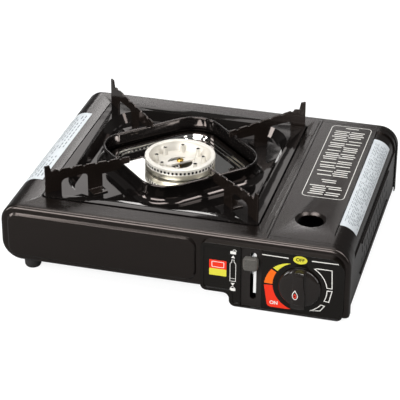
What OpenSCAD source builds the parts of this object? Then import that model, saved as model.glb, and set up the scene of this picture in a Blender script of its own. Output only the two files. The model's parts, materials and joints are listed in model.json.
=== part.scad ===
// Tabletop cassette gas stove: a pressed steel case with the burner on the left and a lidded
// cartridge bay on the right. The origin is on the table, under the middle of the whole object.
// X runs to the right, Y to the rear and Z up. Positions inside the case are from its own middle.

/* [Case] */
// Width of the case
case_w = 340; // [330:1:370]
// Depth of the case without the controls
case_d = 270; // [262:1:300]
// Top plate above the table
case_h = 74; // [73:0.5:80]
// Underside of the burner side above the table
belly_z = 15; // [13:0.5:18]
// Underside of the cartridge bay above the table
bay_z = 3; // [2:0.5:4]
// Sheet steel thickness
sheet = 1; // [0.8:0.1:1.2]
// Rounding of the upper left edge
top_r = 18; // [14:1:20]
// Rounding of the lower left edge
bottom_r = 20; // [14:1:22]
// Rounding of the upper right edge
bay_r = 20; // [18:1:21]
// Rounding between the front wall and its rim
edge_r = 4.5; // [3:0.5:5]
// Depth of the rim that the end walls fold back to
edge_return = 6; // [5.5:0.5:8]
// Depth of the fixed rims in front of and behind the lid
bay_rim = 10.5; // [9:0.5:12]
// Width of the deep side of the case, from the right edge to the step in its floor
deep_w = 113; // [110:1:118]

/* [Embossed field] */
// Left end of the field from the left edge of the case
field_left = 7; // [6:0.5:12]
// Gap between the field and the control panel
field_gap = 5; // [3:0.5:12]
// Gap between the field and the lower edge of the front wall
field_low = 5.5; // [5:0.5:8]
// Gap between the field and the top plate
field_top = 7; // [6:0.5:10]
// Corner radius of the field
field_r = 10; // [6:1:14]
// How far the field stands out
field_out = 2; // [1:0.25:3]

/* [Drip pan] */
// Middle of the pan from the left edge of the case
pan_from_left = 140.5; // [138:0.5:144]
// Width of the pan frame
pan_w = 212; // [206:1:214]
// Depth of the pan frame
pan_d = 220; // [214:1:224]
// Enamelled sheet thickness
pan_t = 1; // [0.8:0.1:1.2]
// Gap between the pan frame and the well in the top plate
pan_gap = 1.5; // [1:0.25:2]
// Frame above the top plate
pan_rise = 1; // [0.5:0.25:2]
// Depth of the well below the top plate
seat_depth = 5; // [4:0.25:6]
// Width of the ledge that carries the pan
seat_w = 7; // [5:0.5:8]
// Flat border of the frame round the basin
pan_border = 11; // [10:0.5:14]
// Corner radius of the basin
basin_r = 40; // [30:1:50]
// Basin floor below the top plate
basin_depth = 8; // [6:0.5:9]
// Run of the sloped basin wall
basin_slope = 6; // [4:0.5:8]
// Half the width of the square draught ring, across its flats
ring_half = 64; // [62:0.5:67]
// Corner radius of the draught ring
ring_r = 30; // [26:1:36]
// Ring rim above the top plate
ring_rise = 11; // [9:0.5:13]
// Radius of the rolled bead on the ring
bead_r = 1.3; // [1:0.1:1.6]
// Foot of the ring where it flares into the basin
ring_flare = 8; // [6:0.5:9]

/* [Pan supports] */
// Plate thickness
arm_t = 1.8; // [1.2:0.1:2.5]
// Inner end from the middle of the pan
arm_in = 57; // [55:0.5:60]
// Outer end from the middle of the pan
arm_out = 148; // [146:0.5:149]
// Top edge above the top plate at the inner end
arm_top_in = 18; // [16:0.5:20]
// Top edge above the top plate at the outer end
arm_top_out = 24; // [20:0.5:26]
// Tip of the end prong above the top plate
prong_top = 30; // [27:0.5:34]
// Width of the end prong
prong_w = 6; // [4:0.5:8]
// Width of the outer leg
outer_leg = 17; // [12:0.5:20]
// Outer edge of the middle leg from the middle of the pan
mid_leg_r = 102.5; // [98:0.5:104]
// Width of the middle leg
mid_leg = 15.5; // [10:0.5:16]
// Top of the window above the top plate
window_top = 12; // [9:0.5:13]
// Number of notches in the top edge
notch_count = 6; // [4:1:8]
// Radius of a notch
notch_r = 2.5; // [1:0.25:3]

/* [Burner] */
// Outer radius of the burner head
head_r = 35.3; // [34:0.1:37]
// Width of the flat rim
head_rim = 4.8; // [4:0.1:6]
// Rim above the top plate
head_rise = 6; // [4:0.5:8]
// Height of the head casting
head_h = 11; // [10:0.5:12]
// Radius of the central opening
throat_r = 12.5; // [11:0.25:14]
// Number of flame ports
port_count = 54; // [40:1:60]
// Width of a flame port
port_w = 2.2; // [1.5:0.1:2.4]
// Height of a flame port
port_h = 2.6; // [1.8:0.1:2.8]
// Number of bosses in the bowl
boss_count = 8; // [6:1:10]
// Height of a boss
boss_h = 8; // [5:0.5:8]
// Radius of the stem below the cup
stem_r = 14; // [13:0.25:15]
// Floor of the bright tray below the top plate
tray_depth = 20; // [19:0.5:21]
// Tray sheet thickness
tray_t = 0.8; // [0.6:0.1:1]
// Half the width of the square tray well, across its flats
tray_half = 56; // [54:0.5:57]
// Corner radius of the tray well
tray_r = 24; // [20:1:28]
// Width of the bar across the central opening
bridge_w = 7; // [5:0.5:8]
// Thickness of the bar across the central opening
bridge_t = 2; // [1.5:0.25:2.5]
// Rim of the tray well below the top plate
collar_depth = 4; // [3:0.5:5]
// Width of the tray well's rim
collar_w = 5; // [4:0.25:5.5]

/* [Cartridge bay] */
// Width of the lid from the right edge to its seam
lid_w = 79.4; // [78:0.2:84]
// Gap round the lid
lid_gap = 0.6; // [0.5:0.1:1]
// Radius of the gas cartridge that the bay takes
cart_r = 33.3; // [32:0.1:33.5]
// Room under the cartridge
cart_room = 1.2; // [1:0.1:2]
// Middle of the cartridge from the right edge
cart_from_right = 43; // [42:0.5:44]
// Depth of the recess for the label
recess = 1.5; // [1:0.1:1.8]
// Width of the recess on the flat, from the right edge
recess_w = 21.5; // [20.5:0.5:24]
// Front end of the recess from the front of the case
recess_front = 26; // [22:0.5:30]
// Rear end of the recess from the rear of the case
recess_rear = 18; // [14:0.5:24]
// Lower end of the recess above the table
recess_z = 52; // [50:0.5:53]
// How far the ribs on the side stand out
rib_out = 1.2; // [0.8:0.1:1.5]
// Radius of the finger hole
finger_r = 12; // [10:0.5:13]
// Width of the pressed rim of the finger hole
finger_rim = 3; // [2:0.25:4]
// Middle of the finger hole from the right edge
finger_from_right = 48.6; // [46:0.2:50]
// Middle of the finger hole from the front of the case
finger_from_front = 51; // [46:0.5:60]
// Front saddle of the cartridge from the front of the case
saddle_front = 95; // [90:1:105]
// Rear saddle of the cartridge from the rear of the case
saddle_rear = 55; // [45:1:65]
// Width of a saddle
saddle_w = 48; // [44:1:52]
// Height of a saddle
saddle_h = 16; // [12:0.5:18]
// Number of vent slots in a row
vent_count = 12; // [8:1:14]
// Distance between vent slots
vent_pitch = 12.5; // [10:0.5:13]
// Width of a vent slot
vent_w = 3; // [2:0.25:4]
// Height of a vent slot
vent_h = 8; // [6:0.5:9]
// Radius of the hinge barrel
barrel_r = 2.8; // [2.5:0.1:3]
// Radius of the hinge pin
pin_r = 1.2; // [1:0.1:1.4]
// Hinge axis above the underside of the bay
hinge_rise = 4.5; // [4:0.25:6]
// Number of hinge knuckles
knuckle_count = 7; // [5:2:9]

/* [Controls] */
// Left end of the control panel from the right edge
panel_from_right = 141; // [136:0.5:144]
// Right end of the control panel from the right edge
panel_end = 5; // [4:0.5:8]
// Top of the control panel below the top plate
panel_drop = 7.5; // [7:0.5:9]
// Lower edge of the control panel below the bay
panel_low = 1.5; // [0.5:0.25:1.8]
// How far the control panel stands out
panel_out = 4.5; // [4:0.25:5]
// Width of the raised border of the control panel
border_w = 3.4; // [3:0.2:6]
// Width of the narrow border round the dial
dial_edge = 1.2; // [1:0.1:2]
// Height of the raised border of the control panel
border_h = 1; // [0.5:0.1:1.5]
// Width of the lever channel
channel_w = 20; // [18:0.5:21]
// Depth of the lever channel
channel_depth = 2.6; // [2:0.1:2.8]
// Middle of the lever channel from the right edge
lever_from_right = 92.4; // [91:0.2:94]
// Lower end of the lever slot above the bay
slot_low = 8; // [7:0.5:11]
// Upper end of the lever slot below the top plate
slot_drop = 13; // [11:0.5:14]
// Width of the lever slot
slot_w = 5.8; // [4:0.1:6.2]
// Width of the lever tab
tab_w = 15; // [14:0.5:17]
// Height of the lever tab
tab_h = 12; // [11:0.5:15]
// How far the lever tab stands out of its channel
tab_out = 7; // [6:0.5:9]
// Top of the lever tab below the top plate
tab_drop = 17; // [15:0.2:18]
// Lever travel
lever_travel = 30; // [24:0.5:30]
// Pin of the push fork behind the front of the case
fork_set = 23; // [22:0.25:24]
// Face of the push fork behind the front of the case
push_set = 52; // [50:0.5:54]
// Push fork travel
fork_travel = 6; // [4:0.5:6]
// Knob axis from the right edge
knob_from_right = 46; // [45:0.5:48]
// Knob axis above the bay
knob_rise = 29; // [27.5:0.25:30]
// Radius of the knob
knob_r = 20; // [18:0.25:20.5]
// Height of the knob skirt
skirt_h = 4.5; // [4:0.25:5]
// Height of the whole knob
knob_h = 10; // [9:0.5:14]
// Gap between knob and panel
knob_gap = 0.5; // [0.3:0.1:1]
// Width of the grip bar
grip_w = 13; // [10:0.5:15]
// Rounding across the top of the grip bar
grip_round = 11; // [9:0.5:16]
// Width of the grip bar at its waist
grip_waist = 9.5; // [8:0.25:10]
// Knob travel from off to full
knob_turn = 130; // [110:1:140]
// Travel of the igniter plunger
plunger_travel = 4; // [3:0.25:4.5]

/* [Gas parts] */
// Radius of the valve spindle
spindle_r = 3; // [2.5:0.1:3.5]
// Running clearance of the spindle
spindle_fit = 0.06; // [0.03:0.01:0.1]
// Radius of the regulator housing
regulator_r = 21; // [19:0.5:22]
// Thickness of the regulator housing
regulator_len = 12; // [10:0.5:13]
// Regulator housing behind the front of the case
regulator_set = 22; // [21:0.25:23]
// Radius of the regulator's inlet
inlet_r = 9; // [8:0.25:10]
// Length of the regulator's inlet
inlet_len = 7; // [6:0.5:8]
// Outer radius of the inlet seal
seal_r = 6; // [5:0.25:6.5]
// Radius of the regulator's outlet
outlet_r = 6; // [5:0.25:6.5]
// Outlet of the regulator from the right edge
outlet_x = 65; // [63:0.5:68]
// Outlet of the regulator behind the front of the case
outlet_y = 30; // [28:0.5:32]
// Tip of the jet in front of the outlet
outlet_reach = 29.5; // [28:0.5:31]
// Radius of the thread of the jet
jet_r = 2.5; // [2:0.25:3]
// Gap between the jet and the mouth of the mixing tube
jet_gap = 3; // [2:0.5:5]
// Outer radius of the mixing tube at its throat
tube_r = 7; // [6.5:0.25:7.5]
// Outer radius of the mixing tube at its mouth
mouth_r = 10; // [9:0.25:10.5]
// Length of the tube's widening mouth
mouth_run = 26; // [20:1:32]
// Radius of the electrode
electrode_r = 0.8; // [0.6:0.1:1]
// Outer radius of the electrode's insulator
insulator_r = 2.5; // [2:0.1:2.6]
// Radius of the ignition lead
wire_r = 1.1; // [0.8:0.1:1.2]
// Tube axis above the cartridge axis
tube_rise = 3.5; // [2:0.5:4]
// Radius of the feet
foot_r = 8.5; // [7:0.25:10]
// Feet from the sides of the case
foot_inset_x = 24; // [22:0.5:30]
// Feet from the front and rear of the case
foot_inset_y = 20; // [16:0.5:30]
// Gap between parts that move past each other
play = 0.3; // [0.25:0.05:0.4]

/* [Hidden] */
$fn = 64;
half_w = case_w / 2;
front_y = -case_d / 2;
rear_y = case_d / 2;
reach = panel_out - border_h + knob_gap + knob_h;
seam_x = half_w - lid_w;
step_x = half_w - deep_w;
pan_x = -half_w + pan_from_left;
seat_z = case_h - seat_depth;
pan_top = case_h + pan_rise;
basin_z = case_h - basin_depth;
ring_top = case_h + ring_rise;
tray_z = case_h - tray_depth;
collar_z = case_h - collar_depth;
tray_flange_z = basin_z - pan_t - 1 - tray_t;
well_w = pan_w + 2 * pan_gap;
well_d = pan_d + 2 * pan_gap;
well_r = 6;
frame_r = well_r - pan_gap;
head_z = case_h + head_rise;
head_seat = head_z - head_h;
bowl_z = head_seat + 2;
cart_x = half_w - cart_from_right;
cart_z = bay_z + sheet + cart_room + cart_r;
tube_z = cart_z + tube_rise;
lid_side = half_w - rib_out;
lid_front = front_y + bay_rim + lid_gap;
lid_rear = rear_y - bay_rim - lid_gap;
lid_len = lid_rear - lid_front;
lid_corner = bay_r - rib_out;
hinge_x = lid_side - barrel_r;
hinge_z = bay_z + hinge_rise;
hinge_clear = barrel_r + 1.2;
partition_x = seam_x - 3.6;
panel_left = half_w - panel_from_right;
panel_right = half_w - panel_end;
panel_top = case_h - panel_drop;
panel_bottom = bay_z - panel_low;
panel_y = front_y - panel_out;
lever_x = half_w - lever_from_right;
knob_x = half_w - knob_from_right;
knob_z = bay_z + knob_rise;
tab_z = case_h - tab_drop - tab_h;
plate_t = 1.6;
plate_x = lever_x - 0.8;
plate_top = case_h - sheet - 1;
plate_low = bay_z + sheet + 0.8 + lever_travel;
pin_z = plate_low + 4;
fork_pin_r = 2;
fork_y = front_y + fork_set;
cam_y = front_y + 6;
cam_w = 7;
cam_r = 9;
cam_gain = plunger_travel / knob_turn;
outlet = [half_w - outlet_x - pan_x, front_y + outlet_y];
tube_dir = atan2(outlet[1], outlet[0]);
electrode_turn = 105;
electrode_s = head_r + 6;
burner_screw_turns = [45, 225];
burner_screw_s = stem_r + 6;
well_front = -well_d / 2 - sheet;
field_w = panel_left - field_gap + half_w - field_left;
field_h = case_h - field_top - belly_z - field_low;
knuckle_len = (lid_len - 2) / knuckle_count;
tube_start = stem_r + 2;
jet_start = norm(outlet) - outlet_reach;
tube_end = jet_start - jet_gap;
regulator_y = front_y + regulator_set;
knob_y = panel_y + border_h - knob_gap;
knob_bore = knob_h - 3;
spindle_front = knob_y - knob_bore;
spindle_rear = front_y + 27;
spindle_flat = spindle_r - 1;
hinge_bore = pin_r + 0.05;
lap = 0.5;
piezo_tip = knob_x + cam_r + 1.6 * play;
piezo_left = piezo_tip + 6;
piezo_y = cam_y + cam_w / 2;
piezo_h = 13;
electrode_p = [pan_x + electrode_s * cos(electrode_turn), electrode_s * sin(electrode_turn)];
wire_sides = 8;
wire_steps = 5;
wire_route = [
  [half_w - 14, piezo_y + piezo_h / 2, knob_z], [half_w - 14, piezo_y + piezo_h / 2 + 8, knob_z + 4],
  [half_w - 22, front_y + 37, case_h - 14], [partition_x, front_y + 38, case_h - 10],
  [step_x + 22, front_y + 45, case_h - 15], [step_x, front_y + 85, tray_z + 3],
  [pan_x + 80, 16, tray_z - 8],
  [electrode_p[0] + 30, electrode_p[1], tray_z - 14], [electrode_p[0], electrode_p[1], tray_z - 14],
  [electrode_p[0], electrode_p[1], tray_z - 9]
];
wire_last = len(wire_route) - 1;

// Moves the case back so that the whole object, knob included, is centred on the origin.
module placed() {
  translate([0, reach / 2, 0]) children();
}

// Stands a 2-D shape drawn in X and Z up between two Y positions.
module along_y(y0, y1) {
  translate([0, y1, 0]) rotate([90, 0, 0]) linear_extrude(y1 - y0) children();
}

// A rounded rectangle about the origin.
module round_rect(w, d, r) {
  square([w, d - 2 * r], center = true);
  square([w - 2 * r, d], center = true);
  for (x = [-1, 1], y = [-1, 1]) translate([x * (w / 2 - r), y * (d / 2 - r)]) circle(r);
}

// A rectangle between two corners.
module span(x0, z0, x1, z1) {
  translate([x0, z0]) square([x1 - x0, z1 - z0]);
}

// A quarter of a ring between two radii, starting at the angle a.
module quarter_band(r, t, a) {
  rotate(a) intersection() {
    difference() {
      circle(r);
      circle(r - t);
    }
    square(r);
  }
}

// A slot with round ends between two points.
module slot_2d(p, q, r) {
  d = q - p;
  translate(p) circle(r);
  translate(q) circle(r);
  translate(p) rotate(atan2(d[1], d[0])) translate([0, -r]) square([norm(d), 2 * r]);
}

// One straight side of a swept section: X of the section points outward along the angle a.
module side_sweep(x, y, a, length) {
  translate([x, y, 0]) rotate(a) rotate([90, 0, 0]) linear_extrude(length, center = true) children();
}

// One quarter turn of a swept section about a corner, from the angle a.
module corner_sweep(x, y, r, a) {
  translate([x, y, 0]) rotate(a) rotate_extrude(angle = 90) translate([r, 0]) children();
}

// A section swept round a rounded rectangle, with its X = 0 on the outline and +X outward.
module swept_frame(w, d, r) {
  for (q = [0 : 3]) {
    across = q % 2 == 0 ? w : d;
    along = q % 2 == 0 ? d : w;
    rotate(q * 90) side_sweep(across / 2, 0, 0, along - 2 * r) children();
    rotate(q * 90) corner_sweep(across / 2 - r, along / 2 - r, r, 0) children();
  }
}

// Turns a flat drawing of X and -Z, with depth upward, to face the front of the case.
module facing_front(y) {
  translate([0, y, 0]) rotate([-90, 0, 0]) children();
}

// Points the Z axis from the burner to the regulator, along the mixing tube.
module on_tube_axis(s) {
  translate([pan_x, 0, tube_z]) rotate(tube_dir) rotate([0, 90, 0]) translate([0, 0, s]) children();
}

// Outline of the end walls, drawn in X and Z and drawn in by i on every edge.
module end_outline(i) {
  span(-half_w + bottom_r, belly_z + i, half_w - bay_r, case_h - i);
  span(-half_w + i, belly_z + bottom_r, -half_w + bottom_r, case_h - top_r);
  span(-half_w + top_r, case_h - top_r, -half_w + bottom_r, case_h - i);
  translate([-half_w + top_r, case_h - top_r]) circle(top_r - i);
  translate([-half_w + bottom_r, belly_z + bottom_r]) circle(bottom_r - i);
  span(half_w - bay_r, bay_z + i, half_w - i, case_h - bay_r);
  translate([half_w - bay_r, case_h - bay_r]) circle(bay_r - i);
  span(step_x + i, bay_z + i, half_w - bay_r, belly_z + i);
}

// Section of the rounded edge: the wall turns back into a rim of the given depth.
module edge_section(depth) {
  translate([-edge_r, edge_r]) quarter_band(edge_r, sheet, -90);
  span(-edge_r - lap, 0, -edge_r, sheet);
  span(-sheet, edge_r, 0, depth);
}

// Rounded rim of an end wall, with depth measured into the case.
module end_rim() {
  top_len = seam_x + half_w - top_r;
  low_len = step_x + half_w - bottom_r;
  left_len = case_h - top_r - belly_z - bottom_r;
  bay_len = half_w - bay_r - seam_x;
  side_len = case_h - bay_r - bay_z;
  corner_sweep(-half_w + top_r, -(case_h - top_r), top_r, 180) edge_section(edge_return);
  corner_sweep(-half_w + bottom_r, -(belly_z + bottom_r), bottom_r, 90) edge_section(edge_return);
  corner_sweep(half_w - bay_r, -(case_h - bay_r), bay_r, -90) edge_section(bay_rim);
  side_sweep(seam_x - top_len / 2, -case_h, -90, top_len) edge_section(edge_return);
  side_sweep(step_x - low_len / 2, -belly_z, 90, low_len) edge_section(edge_return);
  side_sweep(-half_w, -(belly_z + bottom_r + left_len / 2), 180, left_len) edge_section(edge_return);
  side_sweep(seam_x + bay_len / 2, -case_h, -90, bay_len) edge_section(bay_rim);
  side_sweep(half_w, -(bay_z + side_len / 2), 0, side_len) edge_section(bay_rim);
}

// Outline of the slot that the lever passes through, drawn in X and Z.
module lever_slot() {
  x = plate_x + slot_w / 2 - play;
  slot_2d([x, bay_z + slot_low + slot_w / 2], [x, case_h - slot_drop - slot_w / 2], slot_w / 2);
}

// Middle of the embossed field.
module field_place() {
  translate([-half_w + field_left + field_w / 2, -(belly_z + field_low + field_h / 2), 0]) children();
}

// Lower strips of an end wall, which have no rounded edge.
module end_strips() {
  span(step_x, bay_z, half_w - edge_r, bay_z + edge_r);
  span(step_x, bay_z + edge_r, step_x + edge_r, belly_z + edge_r);
}

module front_panel() {
  color("#201f1e") placed() {
    facing_front(front_y) end_rim();
    along_y(front_y, front_y + sheet) difference() {
      union() {
        end_outline(edge_r);
        end_strips();
      }
      mirror([0, 1]) field_place() round_rect(field_w, field_h, field_r);
      translate([knob_x, knob_z]) circle(spindle_r + 2);
      lever_slot();
    }
    facing_front(front_y) field_place() {
      swept_frame(field_w, field_h, field_r)
        polygon([[0, 0], [0, sheet], [-field_out, sheet - field_out], [-field_out, -field_out]]);
      translate([0, 0, -field_out]) linear_extrude(sheet)
        round_rect(field_w - 2 * field_out, field_h - 2 * field_out, field_r - field_out);
    }
  }
}

module rear_panel() {
  slot_pitch = 16;
  slot_count = 9;
  color("#201f1e") placed() mirror([0, 1, 0]) {
    facing_front(front_y) end_rim();
    along_y(front_y, front_y + sheet) difference() {
      union() {
        end_outline(edge_r);
        end_strips();
      }
      for (i = [0 : slot_count - 1]) {
        x = pan_x + (i - (slot_count - 1) / 2) * slot_pitch;
        slot_2d([x, belly_z + 14], [x, belly_z + 28], 2);
      }
    }
  }
}

module top_cover() {
  y0 = front_y + edge_return;
  y1 = rear_y - edge_return;
  ledge = seat_z - sheet;
  flange_w = 22;
  flange_h = 7;
  rib_x = seam_x - 5.6;
  rib_r = 2.5;
  rib_h = 0.6;
  ribs = [[y0 + 9, y0 + 42], [y1 - 38, y1 - 5]];
  color("#242322") placed() {
    difference() {
      union() {
        along_y(y0, y1) {
          span(-half_w + top_r, case_h - sheet, seam_x - lid_gap, case_h);
          translate([-half_w + top_r, case_h - top_r]) quarter_band(top_r, sheet, 90);
          span(-half_w, belly_z + bottom_r, -half_w + sheet, case_h - top_r);
          translate([-half_w + bottom_r, belly_z + bottom_r]) quarter_band(bottom_r, sheet, 180);
          span(-half_w + bottom_r, belly_z, -half_w + bottom_r + flange_w, belly_z + sheet);
        }
        for (y = ribs) translate([0, 0, case_h - sheet / 2]) linear_extrude(sheet / 2 + rib_h)
          slot_2d([rib_x, y[0]], [rib_x, y[1]], rib_r);
      }
      translate([pan_x, 0, case_h - 2 * sheet])
        linear_extrude(4 * sheet) round_rect(well_w, well_d, well_r);
      for (y = ribs) translate([0, 0, case_h - 2 * sheet]) linear_extrude(sheet + rib_h)
        slot_2d([rib_x, y[0]], [rib_x, y[1]], rib_r - sheet);
    }
    along_y(y0 + bay_rim, y1 - bay_rim)
      span(seam_x - lid_gap - sheet, case_h - flange_h, seam_x - lid_gap, case_h - sheet / 2);
    translate([pan_x, 0, ledge]) linear_extrude(seat_depth + sheet) difference() {
      round_rect(well_w + 2 * sheet, well_d + 2 * sheet, well_r + sheet);
      round_rect(well_w, well_d, well_r);
    }
    translate([pan_x, 0, ledge]) linear_extrude(sheet) difference() {
      round_rect(well_w + 2 * sheet, well_d + 2 * sheet, well_r + sheet);
      round_rect(well_w - 2 * seat_w, well_d - 2 * seat_w, well_r / 2);
    }
  }
}

module base_plate() {
  slot_len = 60;
  slot_pitch = 18;
  x0 = -half_w + bottom_r + 2;
  x1 = step_x - play;
  color("#3a3a3a") placed() difference() {
    translate([0, 0, belly_z + sheet]) linear_extrude(sheet)
      span(x0, front_y + edge_return + play, x1, rear_y - edge_return - play);
    for (i = [-3 : 3])
      translate([(x0 + x1) / 2 + i * slot_pitch, 0, belly_z]) linear_extrude(4 * sheet)
        slot_2d([0, -slot_len / 2], [0, slot_len / 2], 3);
    for (y = [-1, 1])
      translate([-half_w + foot_inset_x, y * (rear_y - foot_inset_y), belly_z]) linear_extrude(4 * sheet)
        slot_2d([-foot_inset_x, 0], [0, 0], 2);
  }
}

// Hinge barrel pieces: every second knuckle belongs to the lid.
module knuckles(first) {
  for (k = [first : 2 : knuckle_count - 1]) {
    y = lid_front + 1 + k * knuckle_len;
    along_y(y + play / 2, y + knuckle_len - play / 2) children();
  }
}

module bay_tray() {
  y0 = front_y + sheet;
  y1 = rear_y - sheet;
  lip_x = hinge_x - barrel_r;
  color("#3a3a3a") placed() {
    difference() {
      union() {
        along_y(y0, y1) {
          span(step_x, bay_z, lip_x, bay_z + sheet);
          span(step_x, bay_z, step_x + sheet, belly_z);
        }
        along_y(front_y + edge_return + play, rear_y - edge_return - play) {
          span(step_x, belly_z, step_x + sheet, belly_z + 3 * sheet);
          span(step_x - 8, belly_z + 2 * sheet, step_x + sheet, belly_z + 3 * sheet);
        }
        knuckles(0) {
          translate([hinge_x, hinge_z]) circle(barrel_r);
          span(lip_x - sheet, bay_z, hinge_x, bay_z + sheet);
          span(lip_x - sheet, bay_z, lip_x, hinge_z);
          span(lip_x - sheet, hinge_z - barrel_r / 2, hinge_x, hinge_z);
        }
      }
      translate([hinge_x, lid_front - 1, hinge_z]) rotate([-90, 0, 0])
        cylinder(r = hinge_bore, h = lid_len + 2);
      for (y = [-1, 1])
        translate([half_w - foot_inset_x, y * (rear_y - foot_inset_y), 0]) cylinder(r = 2, h = 2 * bay_z);
    }
  }
}

module bay_partition() {
  y0 = front_y + 36;
  y1 = rear_y - edge_return - play;
  window_z = bay_z + 14;
  color("#8d8f8e") placed() difference() {
    along_y(y0, y1) {
      span(partition_x, bay_z + sheet, partition_x + sheet, case_h - 2 * sheet);
      span(partition_x - 9, bay_z + sheet, partition_x, bay_z + 2 * sheet);
    }
    on_tube_axis(0) cylinder(r = mouth_r + play, h = 2 * case_w);
    along_y(front_y + 43, front_y + 65) span(partition_x - 10, window_z, partition_x + 2, window_z + 14);
    translate([partition_x - 5, front_y + 34, case_h - 12]) cube([10, 8, 12]);
  }
}

module cartridge_saddles() {
  saddle_t = 1.5;
  foot_z = bay_z + sheet;
  color("#8d8f8e") placed() for (y = [front_y + saddle_front, rear_y - saddle_rear])
    along_y(y, y + saddle_t) difference() {
      span(cart_x - saddle_w / 2, foot_z, cart_x + saddle_w / 2, foot_z + saddle_h);
      translate([cart_x, cart_z]) circle(cart_r + 0.5);
    }
}

// A wall of the tray well: a square ring turned onto its corner.
module well_ring(inset, t, z0, z1) {
  outer = tray_half + inset;
  translate([0, 0, z0]) linear_extrude(z1 - z0) rotate(45) difference() {
    round_rect(2 * outer, 2 * outer, tray_r + inset);
    round_rect(2 * (outer - t), 2 * (outer - t), tray_r + inset - t);
  }
}

module burner_tray() {
  deck_w = well_w - 2 * seat_w + 2;
  deck_d = well_d - 2 * seat_w + 2;
  deck_r = 8;
  hanger = 5;
  hang_z = seat_z - sheet;
  collar_half = tray_half + collar_w - tray_t;
  color("#d9dadb") placed() translate([pan_x, 0, 0]) difference() {
    union() {
      translate([0, 0, tray_flange_z]) linear_extrude(tray_t) difference() {
        round_rect(deck_w, deck_d, deck_r);
        rotate(45) round_rect(2 * collar_half, 2 * collar_half, tray_r + collar_w - tray_t);
      }
      translate([0, 0, tray_flange_z]) linear_extrude(hang_z - tray_flange_z) difference() {
        round_rect(deck_w, deck_d, deck_r);
        round_rect(deck_w - 2 * tray_t, deck_d - 2 * tray_t, deck_r - tray_t);
      }
      translate([0, 0, hang_z - tray_t]) linear_extrude(tray_t) difference() {
        round_rect(deck_w + 2 * hanger, deck_d + 2 * hanger, deck_r + hanger);
        round_rect(deck_w - 2 * tray_t, deck_d - 2 * tray_t, deck_r - tray_t);
      }
      well_ring(tray_t, tray_t, tray_z - tray_t, collar_z);
      well_ring(collar_w, collar_w, collar_z - tray_t, collar_z);
      well_ring(collar_w, tray_t, tray_flange_z, collar_z);
      translate([0, 0, tray_z - tray_t]) linear_extrude(tray_t)
        rotate(45) round_rect(2 * tray_half, 2 * tray_half, tray_r);
    }
    cylinder(r = stem_r + play, h = 2 * case_h);
    for (a = burner_screw_turns) rotate(a) translate([burner_screw_s, 0, 0])
      cylinder(r = 1.5, h = 2 * case_h);
    rotate(electrode_turn) translate([electrode_s, 0, 0]) cylinder(r = insulator_r + play, h = 2 * case_h);
  }
}

module drip_pan() {
  basin_w = pan_w - 2 * pan_border;
  basin_d = pan_d - 2 * pan_border;
  foot_half = ring_half + ring_flare - lap;
  turns = [180 : 15 : 270];
  color("#0f0f10") placed() translate([pan_x, 0, 0]) {
    translate([0, 0, pan_top - pan_t]) linear_extrude(pan_t) difference() {
      round_rect(pan_w, pan_d, frame_r);
      round_rect(basin_w, basin_d, basin_r);
    }
    translate([0, 0, seat_z + play]) linear_extrude(pan_top - seat_z - play) difference() {
      round_rect(pan_w, pan_d, frame_r);
      round_rect(pan_w - 2 * pan_t, pan_d - 2 * pan_t, frame_r - pan_t);
    }
    swept_frame(basin_w, basin_d, basin_r)
      polygon([[0, pan_top], [-basin_slope, basin_z], [-basin_slope, basin_z - pan_t],
      [0, pan_top - pan_t]]);
    translate([0, 0, basin_z - pan_t]) linear_extrude(pan_t) difference() {
      round_rect(basin_w - 2 * basin_slope, basin_d - 2 * basin_slope, basin_r - basin_slope);
      rotate(45) round_rect(2 * foot_half, 2 * foot_half, ring_r + ring_flare - lap);
    }
    rotate(45) swept_frame(2 * ring_half, 2 * ring_half, ring_r) {
      span(-pan_t, basin_z + ring_flare, 0, ring_top - bead_r);
      translate([-pan_t / 2, ring_top - bead_r]) circle(bead_r);
      translate([ring_flare, basin_z + ring_flare]) polygon(concat(
        [for (a = turns) ring_flare * [cos(a), sin(a)]],
        [for (a = turns) (ring_flare + pan_t) * [cos(450 - a), sin(450 - a)]]
      ));
    }
  }
}

// Profile of a pan support: distance from the middle of the pan across, height above the table up.
module arm_profile() {
  hook_r = ring_half + bead_r + 1;
  hook_z = ring_top + play;
  prong_in = arm_out - prong_w;
  pitch = (prong_in - arm_in - 6) / notch_count;
  slope = (arm_top_out - arm_top_in) / (prong_in - arm_in);
  difference() {
    polygon([
      [arm_in, hook_z], [hook_r, hook_z], [hook_r, hook_z - 4.5], [mid_leg_r - mid_leg, hook_z - 4.5],
      [mid_leg_r - mid_leg, basin_z], [mid_leg_r, basin_z], [mid_leg_r, pan_top], [arm_out, pan_top],
      [arm_out, case_h + prong_top], [prong_in + 1, case_h + prong_top],
      [prong_in - 1, case_h + arm_top_out - 1.5], [prong_in - 5, case_h + arm_top_out],
      [arm_in, case_h + arm_top_in]
    ]);
    window_w = arm_out - outer_leg - mid_leg_r;
    translate([mid_leg_r + window_w / 2, case_h + window_top - 20]) round_rect(window_w, 40, 5);
    for (i = [0 : notch_count - 1]) {
      r = arm_in + 3 + (i + 0.5) * pitch;
      translate([r, case_h + arm_top_in + slope * (r - arm_in) + notch_r / 2]) circle(notch_r);
    }
  }
}

module pan_support(turn) {
  foot_w = 12;
  color("#161617") placed() translate([pan_x, 0, 0]) rotate(turn) {
    rotate([90, 0, 0]) linear_extrude(arm_t, center = true) arm_profile();
    translate([mid_leg_r - mid_leg, 0, basin_z]) cube([mid_leg, foot_w, 1.5]);
  }
}
module pan_support_front_left() { pan_support(225); }
module pan_support_front_right() { pan_support(315); }
module pan_support_rear_left() { pan_support(135); }
module pan_support_rear_right() { pan_support(45); }

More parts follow.
